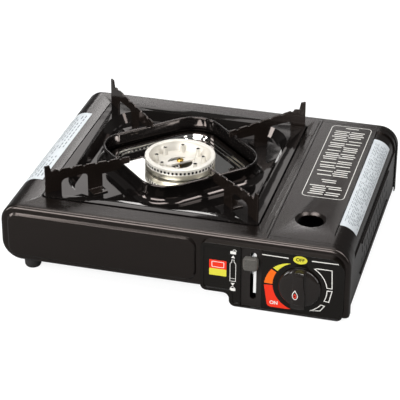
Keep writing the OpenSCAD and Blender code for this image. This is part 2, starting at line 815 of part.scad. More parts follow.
module burner_head() {
  bowl_r = head_r - head_rim;
  band = head_z - 2.6;
  band_r = head_r - 0.6;
  skirt = 1.8;
  boss_turn = 10;
  boss_s = bowl_r - 7;
  boss_r = 2.8;
  boss_top_r = 1.9;
  boss_hole_r = 1;
  color("#c9cac8") placed() translate([pan_x, 0, 0]) difference() {
    union() {
      rotate_extrude() difference() {
        polygon([
          [throat_r, head_seat], [throat_r, bowl_z], [bowl_r - 3.5, bowl_z], [bowl_r, head_z - 1],
          [bowl_r, head_z - 0.4], [bowl_r + 0.4, head_z], [head_r - 0.4, head_z], [head_r, head_z - 0.4],
          [head_r, band], [band_r, band - 0.4], [band_r, band - port_h - 0.6],
          [head_r - 0.3, band - port_h - 1], [head_r - 0.3, head_seat]
        ]);
        polygon([
          [bowl_r - 1.7, head_seat - 1], [bowl_r + 0.8, band], [band_r - skirt, band],
          [band_r - skirt, head_seat - 1]
        ]);
      }
      for (i = [0 : boss_count - 1])
        rotate(boss_turn + i * 360 / boss_count) translate([boss_s, 0, bowl_z - lap])
          cylinder(r1 = boss_r, r2 = boss_top_r, h = boss_h + lap);
    }
    for (i = [0 : port_count - 1])
      rotate(i * 360 / port_count) translate([band_r - skirt - lap, -port_w / 2, band - port_h - 0.4])
        cube([skirt + 2, port_w, port_h]);
    for (i = [0 : boss_count - 1])
      rotate(boss_turn + i * 360 / boss_count) translate([boss_s, 0, bowl_z + 2])
        cylinder(r = boss_hole_r, h = boss_h);
  }
}

module burner_cup() {
  wall = 2.2;
  rim_r = head_r - 1.5;
  low_r = rim_r - 1.5;
  flange_r = stem_r + 10;
  low = tube_z - tube_r - 4;
  color("#b4b5b2") placed() {
    difference() {
      union() {
        translate([pan_x, 0, 0]) rotate_extrude() polygon([
          [0, low], [stem_r, low], [stem_r, tray_z], [flange_r, tray_z], [flange_r, tray_z + 2.5],
          [low_r, tray_z + 5], [rim_r, head_seat], [0, head_seat]
        ]);
        on_tube_axis(stem_r - 4) cylinder(r = tube_r + wall, h = 16);
      }
      translate([pan_x, 0, 0]) rotate_extrude() polygon([
        [0, low + wall], [stem_r - wall, low + wall], [stem_r - wall, tray_z],
        [low_r - wall, tray_z + 5 + wall], [rim_r - wall, head_seat + 1], [0, head_seat + 1]
      ]);
      on_tube_axis(0) cylinder(r = tube_r - 1.2, h = stem_r + 20);
      translate([pan_x, 0, tray_z - 1]) for (a = burner_screw_turns)
        rotate(a) translate([burner_screw_s, 0, 0]) cylinder(r = 1.5, h = 3);
      on_tube_axis(stem_r + 2) cylinder(r = tube_r, h = 20);
    }
  }
}

module burner_bridge() {
  color("#d0d1cf") placed() translate([pan_x, 0, bowl_z]) rotate(45) difference() {
    linear_extrude(bridge_t) slot_2d([-throat_r, 0], [throat_r, 0], bridge_w / 2);
    translate([0, 0, -1]) cylinder(r = 1.55, h = bridge_t + 2);
  }
}

module bridge_screw() {
  color("#c9a349") placed() translate([pan_x, 0, bowl_z + bridge_t]) rotate(20) difference() {
    union() {
      cylinder(r = 3.4, h = 1.4);
      translate([0, 0, 1.4]) cylinder(r1 = 3.4, r2 = 2.2, h = 0.8);
      translate([0, 0, -9]) cylinder(r = 1.5, h = 9);
    }
    for (a = [0, 90]) rotate(a) translate([-2, -0.5, 1]) cube([4, 1, 2]);
  }
}

module burner_screws() {
  head_h2 = 1.5;
  color("#9b9c9e") placed() translate([pan_x, 0, tray_z - tray_t]) for (a = burner_screw_turns)
    rotate(a) translate([burner_screw_s, 0, 0]) {
      translate([0, 0, -head_h2]) cylinder(r = 2.8, h = head_h2);
      cylinder(r = 1.4, h = tray_t + 1.8);
    }
}

module mixing_tube() {
  wall = 0.8;
  throat = tube_end - mouth_run;
  color("#a9abab") placed() on_tube_axis(0) rotate_extrude() polygon([
    [tube_r, tube_start], [tube_r, throat], [mouth_r, tube_end], [mouth_r - wall, tube_end],
    [tube_r - wall - 1, throat], [tube_r - wall, tube_start + 40], [tube_r - wall, tube_start]
  ]);
}

module gas_jet() {
  color("#b8923f") placed() on_tube_axis(jet_start) difference() {
    union() {
      cylinder(r = 2, h = 4);
      translate([0, 0, 4]) cylinder(r = 4, h = 5, $fn = 6);
      translate([0, 0, 9]) cylinder(r = jet_r, h = 5);
    }
    translate([0, 0, -1]) cylinder(r = 0.4, h = 16);
  }
}

module regulator_body() {
  barrel_y = front_y + 16;
  seal_y = regulator_y + regulator_len + inlet_len - 2;
  color("#9c9ea0") placed() difference() {
    union() {
      translate([cart_x, regulator_y, cart_z]) rotate([-90, 0, 0])
        cylinder(r = regulator_r, h = regulator_len);
      translate([cart_x, regulator_y, cart_z]) rotate([-90, 0, 0])
        cylinder(r = inlet_r, h = regulator_len + inlet_len);
      translate([knob_x, barrel_y, knob_z]) rotate([-90, 0, 0]) cylinder(r = 9, h = 12);
      on_tube_axis(jet_start + 9) cylinder(r = outlet_r, h = 26);
      for (x = [-1, 1]) translate([cart_x + x * 16, front_y + sheet, cart_z + 12]) rotate([-90, 0, 0])
        cylinder(r = 4, h = regulator_y - front_y);
    }
    translate([knob_x, barrel_y - 1, knob_z]) rotate([-90, 0, 0])
      cylinder(r = spindle_r + spindle_fit, h = 13);
    translate([cart_x, regulator_y + 4, cart_z]) rotate([-90, 0, 0]) cylinder(r = 4, h = 40);
    translate([cart_x, seal_y, cart_z]) rotate([-90, 0, 0]) cylinder(r = seal_r, h = 4);
    on_tube_axis(jet_start) cylinder(r = jet_r, h = 14);
  }
}

module diaphragm_cover() {
  cover_y = regulator_y + regulator_len;
  bore = inlet_r + 0.1;
  color("#c4a94f") placed() difference() {
    translate([cart_x, cover_y, cart_z]) rotate([-90, 0, 0]) rotate_extrude() polygon([
      [bore, 0], [regulator_r, 0], [regulator_r, 1.2], [regulator_r - 4, 1.2], [regulator_r - 6, 3.2],
      [bore, 3.2]
    ]);
    on_tube_axis(jet_start) cylinder(r = outlet_r + play, h = 40);
  }
}

module cover_screws() {
  color("#9b9c9e") placed() for (a = [90, 210, 330])
    translate([cart_x, regulator_y + regulator_len + 1.2, cart_z]) rotate([-90, 0, 0]) rotate(a)
      translate([regulator_r - 2.2, 0, 0]) cylinder(r = 1.7, h = 1.4);
}

module inlet_seal() {
  color("#1b1b1b") placed() translate([cart_x, regulator_y + regulator_len + inlet_len - 2, cart_z])
    rotate([-90, 0, 0]) difference() {
      cylinder(r = seal_r, h = 3);
      translate([0, 0, -1]) cylinder(r = 3, h = 5);
    }
}

module valve_spindle() {
  color("#b8923f") placed() translate([knob_x, spindle_front, knob_z]) rotate([-90, 0, 0]) difference() {
    cylinder(r = spindle_r, h = spindle_rear - spindle_front);
    translate([spindle_flat, -5, -1]) cube([4, 10, 12]);
  }
}

// Igniter cam: its radius grows evenly with the angle, so the plunger follows the knob evenly.
module igniter_cam() {
  margin = 20;
  steps = 40;
  sweep = knob_turn + 2 * margin;
  rim = [for (i = [0 : steps]) let (a = sweep * i / steps)
    (cam_r + cam_gain * (a - margin)) * [cos(a - margin), sin(a - margin)]];
  color("#e6e3da") placed() translate([knob_x, cam_y, knob_z]) rotate([-90, 0, 0]) linear_extrude(cam_w)
    difference() {
      union() {
        polygon(concat([[0, 0]], rim));
        circle(cam_r - cam_gain * margin);
      }
      circle(spindle_r);
    }
}

module knob() {
  waist_r = 70;
  waist_up = 12;
  ridge_r = 70;
  color("#191919") placed() translate([knob_x, knob_y, knob_z]) rotate([90, 0, 0]) difference() {
    union() {
      rotate_extrude() polygon([
        [0, 0], [knob_r, 0], [knob_r, skirt_h - 2.8], [knob_r - 0.6, skirt_h - 1.6],
        [knob_r - 2, skirt_h - 0.5],
        [knob_r - 5, skirt_h + 0.3], [knob_r - 10, skirt_h + 1], [0, skirt_h + 1.4]
      ]);
      intersection() {
        translate([-grip_w / 2, -knob_r, skirt_h - 2]) cube([grip_w, 2 * knob_r, knob_h]);
        cylinder(r = knob_r - 0.4, h = 2 * knob_h);
        translate([0, 0, knob_h + 0.4 - ridge_r]) rotate([0, 90, 0])
          cylinder(r = ridge_r, h = 4 * knob_r, center = true);
        translate([0, 0, knob_h - grip_round]) rotate([90, 0, 0])
          cylinder(r = grip_round, h = 4 * knob_r, center = true);
        difference() {
          cylinder(r = knob_r, h = 2 * knob_h);
          for (x = [-1, 1]) translate([x * (waist_r + grip_waist / 2), waist_up, skirt_h + 1])
            cylinder(r = waist_r, h = 2 * knob_h);
        }
      }
    }
    translate([0, 0, -1]) difference() {
      cylinder(r = spindle_r, h = knob_bore + 1);
      translate([spindle_flat, -5, -1]) cube([4, 10, 13]);
    }
  }
}

module piezo_igniter() {
  length = lid_side - 7.5 - piezo_left;
  color("#f0efe9") placed() difference() {
    translate([piezo_left, front_y + sheet, knob_z - piezo_h / 2])
      cube([length, piezo_y + piezo_h / 2 - front_y - sheet, piezo_h]);
    translate([piezo_left - 1, piezo_y, knob_z]) rotate([0, 90, 0])
      cylinder(r = 3 + play, h = plunger_travel + 8);
  }
}

module piezo_plunger() {
  color("#d64a35") placed() translate([piezo_tip, piezo_y, knob_z]) rotate([0, 90, 0])
    cylinder(r = 3, h = piezo_left - piezo_tip + 6);
}

// Ignition lead: clipped inside the case from the igniter to the electrode, on one smooth route.

// A point on the smooth curve through the route, where u counts the route's points.
function route_point(u) =
  let (i = min(floor(u), wire_last - 1), f = u - i)
  let (p0 = wire_route[max(i - 1, 0)], p1 = wire_route[i])
  let (p2 = wire_route[i + 1], p3 = wire_route[min(i + 2, wire_last)])
  p1 + f * (p2 - p0) / 2 + f * f * (2 * p0 - 5 * p1 + 4 * p2 - p3) / 2
  + f * f * f * (3 * p1 - p0 - 3 * p2 + p3) / 2;

// A ring of points round the curve at u, square to it.
function route_ring(u) =
  let (t = route_point(min(u + 0.01, wire_last)) - route_point(max(u - 0.01, 0)))
  let (n = cross(t, [0.3, 1, 0.2]), m = cross(t, n))
  [for (k = [0 : wire_sides - 1]) let (a = 360 * k / wire_sides)
    route_point(u) + wire_r * (cos(a) * n / norm(n) + sin(a) * m / norm(m))];

module ignition_wire() {
  rings = wire_last * wire_steps;
  points = [for (i = [0 : rings]) each route_ring(i / wire_steps)];
  side_faces = [for (i = [0 : rings - 1], k = [0 : wire_sides - 1])
    let (a = i * wire_sides + k, b = i * wire_sides + (k + 1) % wire_sides)
    each [[b, a, a + wire_sides], [b + wire_sides, b, a + wire_sides]]];
  first_cap = [for (k = [1 : wire_sides - 2]) [0, k, k + 1]];
  last = rings * wire_sides;
  last_cap = [for (k = [1 : wire_sides - 2]) [last, last + k + 1, last + k]];
  color("#d8d4c8") placed() polyhedron(points, concat(side_faces, first_cap, last_cap));
}

module electrode_insulator() {
  color("#f4f2ec") placed() translate([electrode_p[0], electrode_p[1], 0]) difference() {
    union() {
      translate([0, 0, tray_z - 9]) cylinder(r = insulator_r, h = 23);
      translate([0, 0, tray_z]) cylinder(r = 4.2, h = 3);
    }
    translate([0, 0, tray_z - 4]) cylinder(r = electrode_r, h = 40);
  }
}

module electrode() {
  tip = 4;
  top = tray_z + 17;
  color("#8f9193") placed() translate([electrode_p[0], electrode_p[1], 0]) {
    translate([0, 0, tray_z - 4]) cylinder(r = electrode_r, h = top - tray_z + 4, $fn = 24);
    translate([0, 0, top]) sphere(r = electrode_r, $fn = 24);
    translate([0, 0, top]) rotate([0, 90, electrode_turn + 180])
      cylinder(r = electrode_r, h = tip, $fn = 24);
  }
}

// Outline of the control panel in X and Z, drawn in by i: a tall right part and a shorter left end.
module panel_outline(i) {
  r = 6;
  shoulder = 14;
  span(panel_left + r, belly_z + i, panel_right - shoulder, panel_top - i);
  span(panel_left + i, belly_z + r, panel_left + r, panel_top - r);
  translate([panel_left + r, panel_top - r]) circle(r - i);
  translate([panel_left + r, belly_z + r]) circle(r - i);
  translate([panel_right - shoulder, panel_top - shoulder]) circle(shoulder - i);
  span(panel_right - shoulder, panel_bottom + r, panel_right - i, panel_top - shoulder);
  translate([panel_right - r, panel_bottom + r]) circle(r - i);
  span(step_x + r, panel_bottom + i, panel_right - r, panel_bottom + r);
  span(step_x + i, panel_bottom + r, panel_right - shoulder, belly_z + r);
  translate([step_x + r, panel_bottom + r]) circle(r - i);
  difference() {
    span(step_x - r, belly_z + i - r, step_x + r, belly_z + r);
    translate([step_x - r, belly_z + i - r]) circle(r + i);
  }
}

module control_panel() {
  scoop_r = 130;
  scoop_depth = 3.2;
  color("#0d0d0e") placed() difference() {
    along_y(panel_y, front_y) panel_outline(0);
    along_y(panel_y - 1, panel_y + border_h) difference() {
      union() {
        panel_outline(border_w);
        intersection() {
          panel_outline(dial_edge);
          span(lever_x, panel_bottom, half_w, panel_top);
        }
      }
      span(panel_right - border_w, panel_bottom, half_w, panel_top);
    }
    along_y(panel_y - 1, panel_y + channel_depth)
      span(lever_x - channel_w / 2, bay_z, lever_x + channel_w / 2, panel_top - 0.6);
    along_y(panel_y - 1, front_y + 1)
      lever_slot();
    translate([knob_x, front_y + 1, knob_z]) rotate([90, 0, 0])
      cylinder(r = spindle_r + 1, h = panel_out + 2);
    translate([panel_right, panel_y, (panel_top + panel_bottom) / 2]) rotate([0, 0, 17])
      translate([0, -scoop_r + scoop_depth, 0]) rotate([0, 90, 0])
        cylinder(r = scoop_r, h = 40, center = true);
  }
}

module slide_guide() {
  x0 = plate_x + plate_t + 0.5;
  top = case_h - edge_r - play;
  color("#e4e5e6") placed() {
    along_y(front_y + sheet, front_y + 2 * sheet) span(x0, bay_z + slot_low + 5, x0 + 9, top);
    along_y(front_y + sheet, front_y + 9) span(x0 + 8, bay_z + slot_low + 5, x0 + 9, top);
  }
}

module lever_plate() {
  neck_z = tab_z + 2;
  neck_h = tab_h - 4;
  rear = fork_y + 5;
  run = (plate_top + 5 - pin_z) / lever_travel;
  color("#c3c5c6") placed() translate([plate_x, 0, 0]) rotate([90, 0, 90])
    linear_extrude(plate_t) difference() {
    union() {
      span(front_y + sheet + 2, plate_low, rear, seat_z - 3 * sheet);
      span(front_y + sheet + 2, plate_low, well_front - play, plate_top);
      span(panel_y + channel_depth - tab_out + 3, neck_z, front_y + sheet + 2, neck_z + neck_h);
    }
    slot_2d([fork_y, pin_z], [fork_y - run * fork_travel, pin_z + run * lever_travel], fork_pin_r + play);
  }
}

module lever_tab() {
  y0 = panel_y + channel_depth - play;
  wall = 2;
  tip = 3;
  r = 3;
  color("#4a4a4b") placed() difference() {
    intersection() {
      translate([lever_x, y0 - tab_out / 2, tab_z]) linear_extrude(tab_h) round_rect(tab_w, tab_out, r);
      along_y(y0 - tab_out - 1, y0 + 1) translate([lever_x, tab_z + tab_h / 2])
        round_rect(tab_w + 0.2, tab_h, 4);
    }
    translate([plate_x, y0 - tab_out + tip, tab_z + wall]) cube([plate_t, tab_out, tab_h - 2 * wall]);
  }
}

module push_fork() {
  arm_w = 2;
  arm_x = partition_x - play - arm_w;
  run_z = bay_z + 16;
  run_h = 10;
  push_y = front_y + push_set;
  run_end = push_y + 10;
  color("#b9bbbc") placed() {
    translate([arm_x, 0, 0]) rotate([90, 0, 90]) linear_extrude(arm_w) {
      span(fork_y - 4, run_z, fork_y + 4, pin_z + 4);
      span(fork_y - 4, run_z, run_end, run_z + run_h);
    }
    translate([plate_x - 2, fork_y, pin_z]) rotate([0, 90, 0])
      cylinder(r = fork_pin_r, h = arm_x - plate_x + 2.5);
    along_y(push_y, push_y + 2) difference() {
      span(arm_x, run_z, cart_x - 8, run_z + run_h);
      translate([cart_x, cart_z]) circle(14);
    }
  }
}

// The lid's section: flat top, rounded shoulder and upright side, one sheet thick, drawn in by i.
module lid_band(i, t, low) {
  span(seam_x, case_h - i - t, lid_side - lid_corner, case_h - i);
  translate([lid_side - lid_corner, case_h - lid_corner]) quarter_band(lid_corner - i, t, 0);
  span(lid_side - i - t, low, lid_side - i, case_h - lid_corner);
}

module lid() {
  y0 = front_y + recess_front;
  y1 = rear_y - recess_rear;
  finger = [half_w - finger_from_right, front_y + finger_from_front];
  step = half_w - recess_w;
  low = hinge_z + hinge_clear;
  flange = 6;
  rib_z = [hinge_z + 8, recess_z - 3];
  rib_len = vent_count * vent_pitch;
  vent_y = (y0 + y1) / 2;
  color("#272625") placed() difference() {
    union() {
      difference() {
        along_y(lid_front, lid_rear) lid_band(0, sheet, low);
        along_y(y0, y1) intersection() {
          difference() {
            lid_band(-1, recess + 1, low);
            lid_band(recess, 2 * sheet, low);
          }
          span(step, recess_z, half_w + 1, case_h + 1);
        }
        translate([finger[0], finger[1], case_h - 2 * sheet])
          cylinder(r = finger_r + finger_rim, h = 4 * sheet);
      }
      along_y(y0 - sheet, y1 + sheet) intersection() {
        lid_band(recess, sheet, low);
        span(step - sheet, recess_z - sheet, half_w, case_h);
      }
      along_y(y0 - sheet, y1 + sheet) {
        span(step - sheet, case_h - recess - sheet, step, case_h - sheet / 2);
        span(lid_side - recess - sheet, recess_z - sheet, lid_side - sheet / 2, recess_z);
      }
      for (y = [y0 - sheet, y1]) along_y(y, y + sheet) intersection() {
        lid_band(sheet / 2, recess + sheet / 2, low);
        span(step - sheet, recess_z - sheet, half_w, case_h);
      }
      for (y = [lid_front, lid_rear - sheet]) along_y(y, y + sheet) lid_band(sheet / 2, flange, low);
      along_y(lid_front, lid_rear) span(seam_x, case_h - flange, seam_x + sheet, case_h - sheet / 2);
      translate([finger[0], finger[1], case_h]) rotate_extrude() polygon([
        [finger_r + finger_rim, 0], [finger_r + finger_rim, -sheet], [finger_r, -sheet - 2.2],
        [finger_r, -2.2]
      ]);
      for (z = rib_z) translate([lid_side - 0.4, vent_y - rib_len / 2, z])
        rotate([-90, 0, 0]) intersection() {
        cylinder(r = rib_out + 0.4, h = rib_len);
        translate([0, -5, 0]) cube([5, 10, rib_len]);
      }
      knuckles(1) {
        translate([hinge_x, hinge_z]) circle(barrel_r);
        span(lid_side - sheet, hinge_z, lid_side, low + 1);
      }
    }
    translate([hinge_x, lid_front - 1, hinge_z]) rotate([-90, 0, 0])
      cylinder(r = hinge_bore, h = lid_len + 2);
    for (i = [0 : vent_count - 1], row = [0, 1]) {
      y = vent_y + (i - (vent_count - 1) / 2) * vent_pitch;
      z = (rib_z[0] + rib_z[1]) / 2 + (row - 0.5) * (vent_h + 5);
      translate([lid_side - 5, 0, 0]) rotate([90, 0, 90]) linear_extrude(10)
        slot_2d([y, z - vent_h / 2 + vent_w / 2], [y, z + vent_h / 2 - vent_w / 2], vent_w / 2);
    }
  }
}

module hinge_pin() {
  color("#a5a7a9") placed() translate([hinge_x, lid_front + 0.6, hinge_z]) rotate([-90, 0, 0])
    cylinder(r = pin_r, h = lid_len - 1.2);
}

module feet() {
  color("#222222") placed() for (y = [-1, 1]) {
    translate([-half_w + foot_inset_x, y * (rear_y - foot_inset_y), 0]) rotate_extrude()
      polygon([[0, 0], [foot_r - 1.5, 0], [foot_r - 0.5, 2], [foot_r, belly_z], [0, belly_z]]);
    translate([half_w - foot_inset_x, y * (rear_y - foot_inset_y), 0]) rotate_extrude()
      polygon([[0, 0], [foot_r - 1, 0], [foot_r, bay_z], [0, bay_z]]);
  }
}

module foot_screws() {
  color("#9b9c9e") placed() for (y = [-1, 1]) {
    translate([-half_w + foot_inset_x, y * (rear_y - foot_inset_y), belly_z + 2 * sheet])
      cylinder(r = 3.5, h = 2);
    translate([half_w - foot_inset_x, y * (rear_y - foot_inset_y), bay_z + sheet]) cylinder(r = 3.5, h = 1);
  }
}

top_cover();
front_panel();
rear_panel();
base_plate();
bay_tray();
bay_partition();
cartridge_saddles();
burner_tray();
drip_pan();
pan_support_front_left();
pan_support_front_right();
pan_support_rear_left();
pan_support_rear_right();
burner_head();
burner_cup();
burner_bridge();
bridge_screw();
burner_screws();
mixing_tube();
gas_jet();
regulator_body();
diaphragm_cover();
cover_screws();
inlet_seal();
valve_spindle();
igniter_cam();
knob();
piezo_igniter();
piezo_plunger();
ignition_wire();
electrode_insulator();
electrode();
control_panel();
slide_guide();
lever_plate();
lever_tab();
push_fork();
lid();
hinge_pin();
feet();
foot_screws();
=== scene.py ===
import bmesh
import bpy
import json
import math
from mathutils import Matrix, Vector

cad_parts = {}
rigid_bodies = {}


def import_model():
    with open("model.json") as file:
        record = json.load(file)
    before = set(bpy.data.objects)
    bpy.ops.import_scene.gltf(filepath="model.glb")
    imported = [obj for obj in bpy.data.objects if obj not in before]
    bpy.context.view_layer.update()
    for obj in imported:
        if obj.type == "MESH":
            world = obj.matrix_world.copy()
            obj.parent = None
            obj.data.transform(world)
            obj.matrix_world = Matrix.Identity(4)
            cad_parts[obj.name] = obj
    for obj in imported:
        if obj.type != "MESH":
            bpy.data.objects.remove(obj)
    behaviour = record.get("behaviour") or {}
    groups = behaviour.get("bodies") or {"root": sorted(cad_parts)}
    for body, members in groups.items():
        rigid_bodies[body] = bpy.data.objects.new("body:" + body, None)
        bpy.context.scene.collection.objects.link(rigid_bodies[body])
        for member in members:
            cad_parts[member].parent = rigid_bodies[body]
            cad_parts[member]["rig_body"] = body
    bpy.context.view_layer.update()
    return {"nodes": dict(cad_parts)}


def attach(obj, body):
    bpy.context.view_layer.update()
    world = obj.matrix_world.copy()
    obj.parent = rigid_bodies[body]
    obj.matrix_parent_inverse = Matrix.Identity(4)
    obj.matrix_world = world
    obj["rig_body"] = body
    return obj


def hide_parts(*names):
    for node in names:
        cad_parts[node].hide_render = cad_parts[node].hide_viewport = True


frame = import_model()

# Case: top cover, front and rear walls and the hinged lid, pressed from 1 mm sheet steel.
# They are sprayed with semi-gloss black stove paint and baked, which leaves a fine orange peel
# and soft wide highlights on every rounded edge.
MM = 0.001
CASE_BACK = 7 * MM
WARM_GLINT = "#ffefe8"


def srgb(code):
    """Linear colour of an sRGB hex value."""
    parts = [int(code[i:i + 2], 16) / 255 for i in (1, 3, 5)]
    return [*(c / 12.92 if c <= 0.04045 else ((c + 0.055) / 1.055) ** 2.4 for c in parts), 1.0]


def add(tree, kind, links=None, **settings):
    """Adds a node with its settings; links gives each input a value or another node's output."""
    node = tree.nodes.new(kind)
    for name, value in settings.items():
        setattr(node, name, value)
    for name, value in (links or {}).items():
        if isinstance(value, bpy.types.NodeSocket):
            tree.links.new(value, node.inputs[name])
        else:
            node.inputs[name].default_value = value
    return node


def start_material(name, **sockets):
    """Starts a material named for the real one and returns it with its tree and its shader."""
    material = bpy.data.materials.new(name)
    material.use_nodes = True
    tree = material.node_tree
    shader = tree.nodes["Principled BSDF"]
    for socket, value in sockets.items():
        shader.inputs[socket.replace("_", " ")].default_value = value
    return material, tree, shader


def noise(tree, size, detail):
    """A cloudy pattern over the piece, with marks about size millimetres across."""
    spot = add(tree, "ShaderNodeTexCoord").outputs["Object"]
    cloud = add(tree, "ShaderNodeTexNoise", {"Vector": spot, "Scale": 1 / (size * MM), "Detail": detail})
    return cloud.outputs["Fac"]


def vary(tree, shader, pattern, dark, pale, low, high, gloss_pattern=None):
    """Runs the colour from dark to pale with the pattern, and the roughness from low to high."""
    gloss_pattern = pattern if gloss_pattern is None else gloss_pattern
    tone = add(tree, "ShaderNodeMix", {"Factor": pattern, "A": srgb(dark), "B": srgb(pale)}, data_type="RGBA")
    gloss = add(tree, "ShaderNodeMapRange", {"Value": gloss_pattern, "To Min": low, "To Max": high})
    tree.links.new(tone.outputs["Result"], shader.inputs["Base Color"])
    tree.links.new(gloss.outputs["Result"], shader.inputs["Roughness"])


def emboss(tree, shader, pattern, strength, depth):
    """Gives the surface a relief that follows the pattern, depth in millimetres."""
    relief = add(tree, "ShaderNodeBump", {"Height": pattern, "Strength": strength, "Distance": depth * MM})
    tree.links.new(relief.outputs["Normal"], shader.inputs["Normal"])


def put_on(piece, body):
    """Links a finished piece into the scene, on its body."""
    bpy.context.scene.collection.objects.link(piece)
    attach(piece, body)
    return piece


def dressed(node, slot, *materials, edge=0.3, sharp=32):
    """A merged and smooth copy of a CAD node with small rounded edges, which stands for that node."""
    weld = 0.002 * MM
    nearly_flat = math.radians(0.3)
    source = frame["nodes"][node]
    mesh = source.data.copy()
    shape = bmesh.new()
    shape.from_mesh(mesh)
    bmesh.ops.remove_doubles(shape, verts=shape.verts, dist=weld)
    bmesh.ops.dissolve_limit(shape, angle_limit=nearly_flat, verts=shape.verts, edges=shape.edges)
    shape.to_mesh(mesh)
    shape.free()
    mesh.materials.clear()
    for material in materials:
        mesh.materials.append(material)
    mesh.shade_smooth()
    mesh.set_sharp_from_angle(angle=math.radians(sharp))
    piece = bpy.data.objects.new(node + "_finished", mesh)
    put_on(piece, source["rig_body"])
    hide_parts(node)
    if edge:
        rounding = piece.modifiers.new("rounded_edges", "BEVEL")
        rounding.width = edge * MM
        rounding.segments = 2
        rounding.limit_method = "ANGLE"
        rounding.angle_limit = math.radians(sharp)
        rounding.harden_normals = True
    return piece


case_paint, tree, shader = start_material("sprayed_stove_paint", IOR=1.5, Specular_Tint=srgb(WARM_GLINT))
vary(tree, shader, noise(tree, 45, 3.0), "#080605", "#0d0a08", 0.2, 0.27)
emboss(tree, shader, noise(tree, 2.2, 1.0), 0.25, 0.03)
for node in ("top_cover", "front_panel", "rear_panel", "lid"):
    dressed(node, "case_paint", case_paint, edge=0.5)

# Floors of the case: a flat plate under the burner and a deeper tray under the cartridge bay.
# Both are pressed steel with a thinner, duller coat of the same black paint.
floor_paint, tree, shader = start_material("thin_floor_paint", IOR=1.4)
vary(tree, shader, noise(tree, 18, 5.0), "#1b1919", "#2b2928", 0.42, 0.6)
for node in ("base_plate", "bay_tray"):
    dressed(node, "base_paint", floor_paint)

# Burner tray: a sheet pressed into a square well round the burner stem. Its floor is bright tinplate,
# nearly a mirror with faint lines from the rolling; its wall and collar are masked and painted black.
TRAY_FLOOR = 54 * MM
FLOOR_BAND = 0.3 * MM


def streaks(tree, sizes):
    """Fine lines over the piece; sizes is the length of a mark along X, Y and Z in millimetres."""
    spot = add(tree, "ShaderNodeTexCoord").outputs["Object"]
    drawn = add(tree, "ShaderNodeMapping", {"Vector": spot, "Scale": [1 / (size * MM) for size in sizes]})
    lines = add(tree, "ShaderNodeTexNoise", {"Vector": drawn.outputs["Vector"], "Scale": 1.0, "Detail": 2.0})
    return lines.outputs["Fac"]


tinplate, tree, shader = start_material("bright_tinplate", Metallic=1.0)
vary(tree, shader, streaks(tree, (0.8, 60, 60)), "#e4e2de", "#f4f3f1", 0.03, 0.06)
tray = dressed("burner_tray", "tinplate", tinplate, case_paint, edge=0.25)
for face in tray.data.polygons:
    if face.center.z > TRAY_FLOOR + FLOOR_BAND:
        face.material_index = 1

# Burner reflector: a bright sheet with two pressed steps, pressed into the tray's well round the burner cup.
# It is cut from the same tinplate as the tray, with a hole for the cup and one for the igniter's insulator.
# The well's wall grips its edge all round.
PAN_X = -29.5 * MM
RIM_Z = 69.8
STEP_Z = 68.6
FLOOR_Z = 67.4
SHEET = 0.4 * MM
CORNER_CENTRE = 32
CUP_HOLE = 34.6
INSULATOR_HOLE = 3.3
INSULATOR = [41.3 * f(math.radians(60)) for f in (math.cos, math.sin)]


def arc(centre, start, end, near, far, steps=20):
    """Points on an arc whose radius runs evenly from near to far; angles in degrees."""
    turns = [(math.radians(start + (end - start) * i / steps), near + (far - near) * i / steps)
             for i in range(steps + 1)]
    return [(centre[0] + r * math.cos(a), centre[1] + r * math.sin(a)) for a, r in turns]


def rounded_box(x0, z0, x1, z1, r, steps=5):
    """Outline of a rectangle with round corners."""
    corners = ((x1 - r, z1 - r, 0), (x0 + r, z1 - r, 90), (x0 + r, z0 + r, 180), (x1 - r, z0 + r, 270))
    return [p for x, z, a in corners for p in arc((x, z), a, a + 90, r, r, steps)]


def on_pan(u, v, z):
    """A point over the pan's middle, from millimetres along the sides of its slanted ring."""
    slant = math.sqrt(0.5)
    return Vector((PAN_X + (u - v) * slant * MM, CASE_BACK + (u + v) * slant * MM, z * MM))


def made(name, shape, body, material, sharp=None):
    """Turns a built shape into a piece of one material, smooth up to the sharp angle where it has one."""
    bmesh.ops.recalc_face_normals(shape, faces=shape.faces)
    mesh = bpy.data.meshes.new(name)
    shape.to_mesh(mesh)
    shape.free()
    if sharp:
        mesh.shade_smooth()
        mesh.set_sharp_from_angle(angle=math.radians(sharp))
    mesh.materials.append(material)
    return put_on(bpy.data.objects.new(name, mesh), body)


shape = bmesh.new()
steps = []
for half, z in ((55.95, RIM_Z), (54.0, RIM_Z), (53.4, STEP_Z), (50.8, STEP_Z), (50.2, FLOOR_Z)):
    outline = rounded_box(-half, -half, half, half, half - CORNER_CENTRE, 12)
    steps.append([shape.verts.new(on_pan(u, v, z)) for u, v in outline])
for outer, inner in zip(steps, steps[1:]):
    for i in range(len(outer)):
        shape.faces.new((outer[i - 1], outer[i], inner[i], inner[i - 1]))
rims = [steps[-1]]
for middle, r, count in (((0, 0), CUP_HOLE, 72), (INSULATOR, INSULATOR_HOLE, 24)):
    outline = arc(middle, 0, 360 - 360 / count, r, r, count - 1)
    rims.append([shape.verts.new(on_pan(u, v, FLOOR_Z)) for u, v in outline])
edges = []
for rim in rims:
    for i, vert in enumerate(rim):
        edges.append(shape.edges.get((rim[i - 1], vert)) or shape.edges.new((rim[i - 1], vert)))
bmesh.ops.triangle_fill(shape, use_beauty=True, edges=edges)
bmesh.ops.recalc_face_normals(shape, faces=shape.faces)
bmesh.ops.solidify(shape, geom=shape.faces[:], thickness=SHEET)
made("burner_reflector", shape, "stove", tinplate, sharp=25)

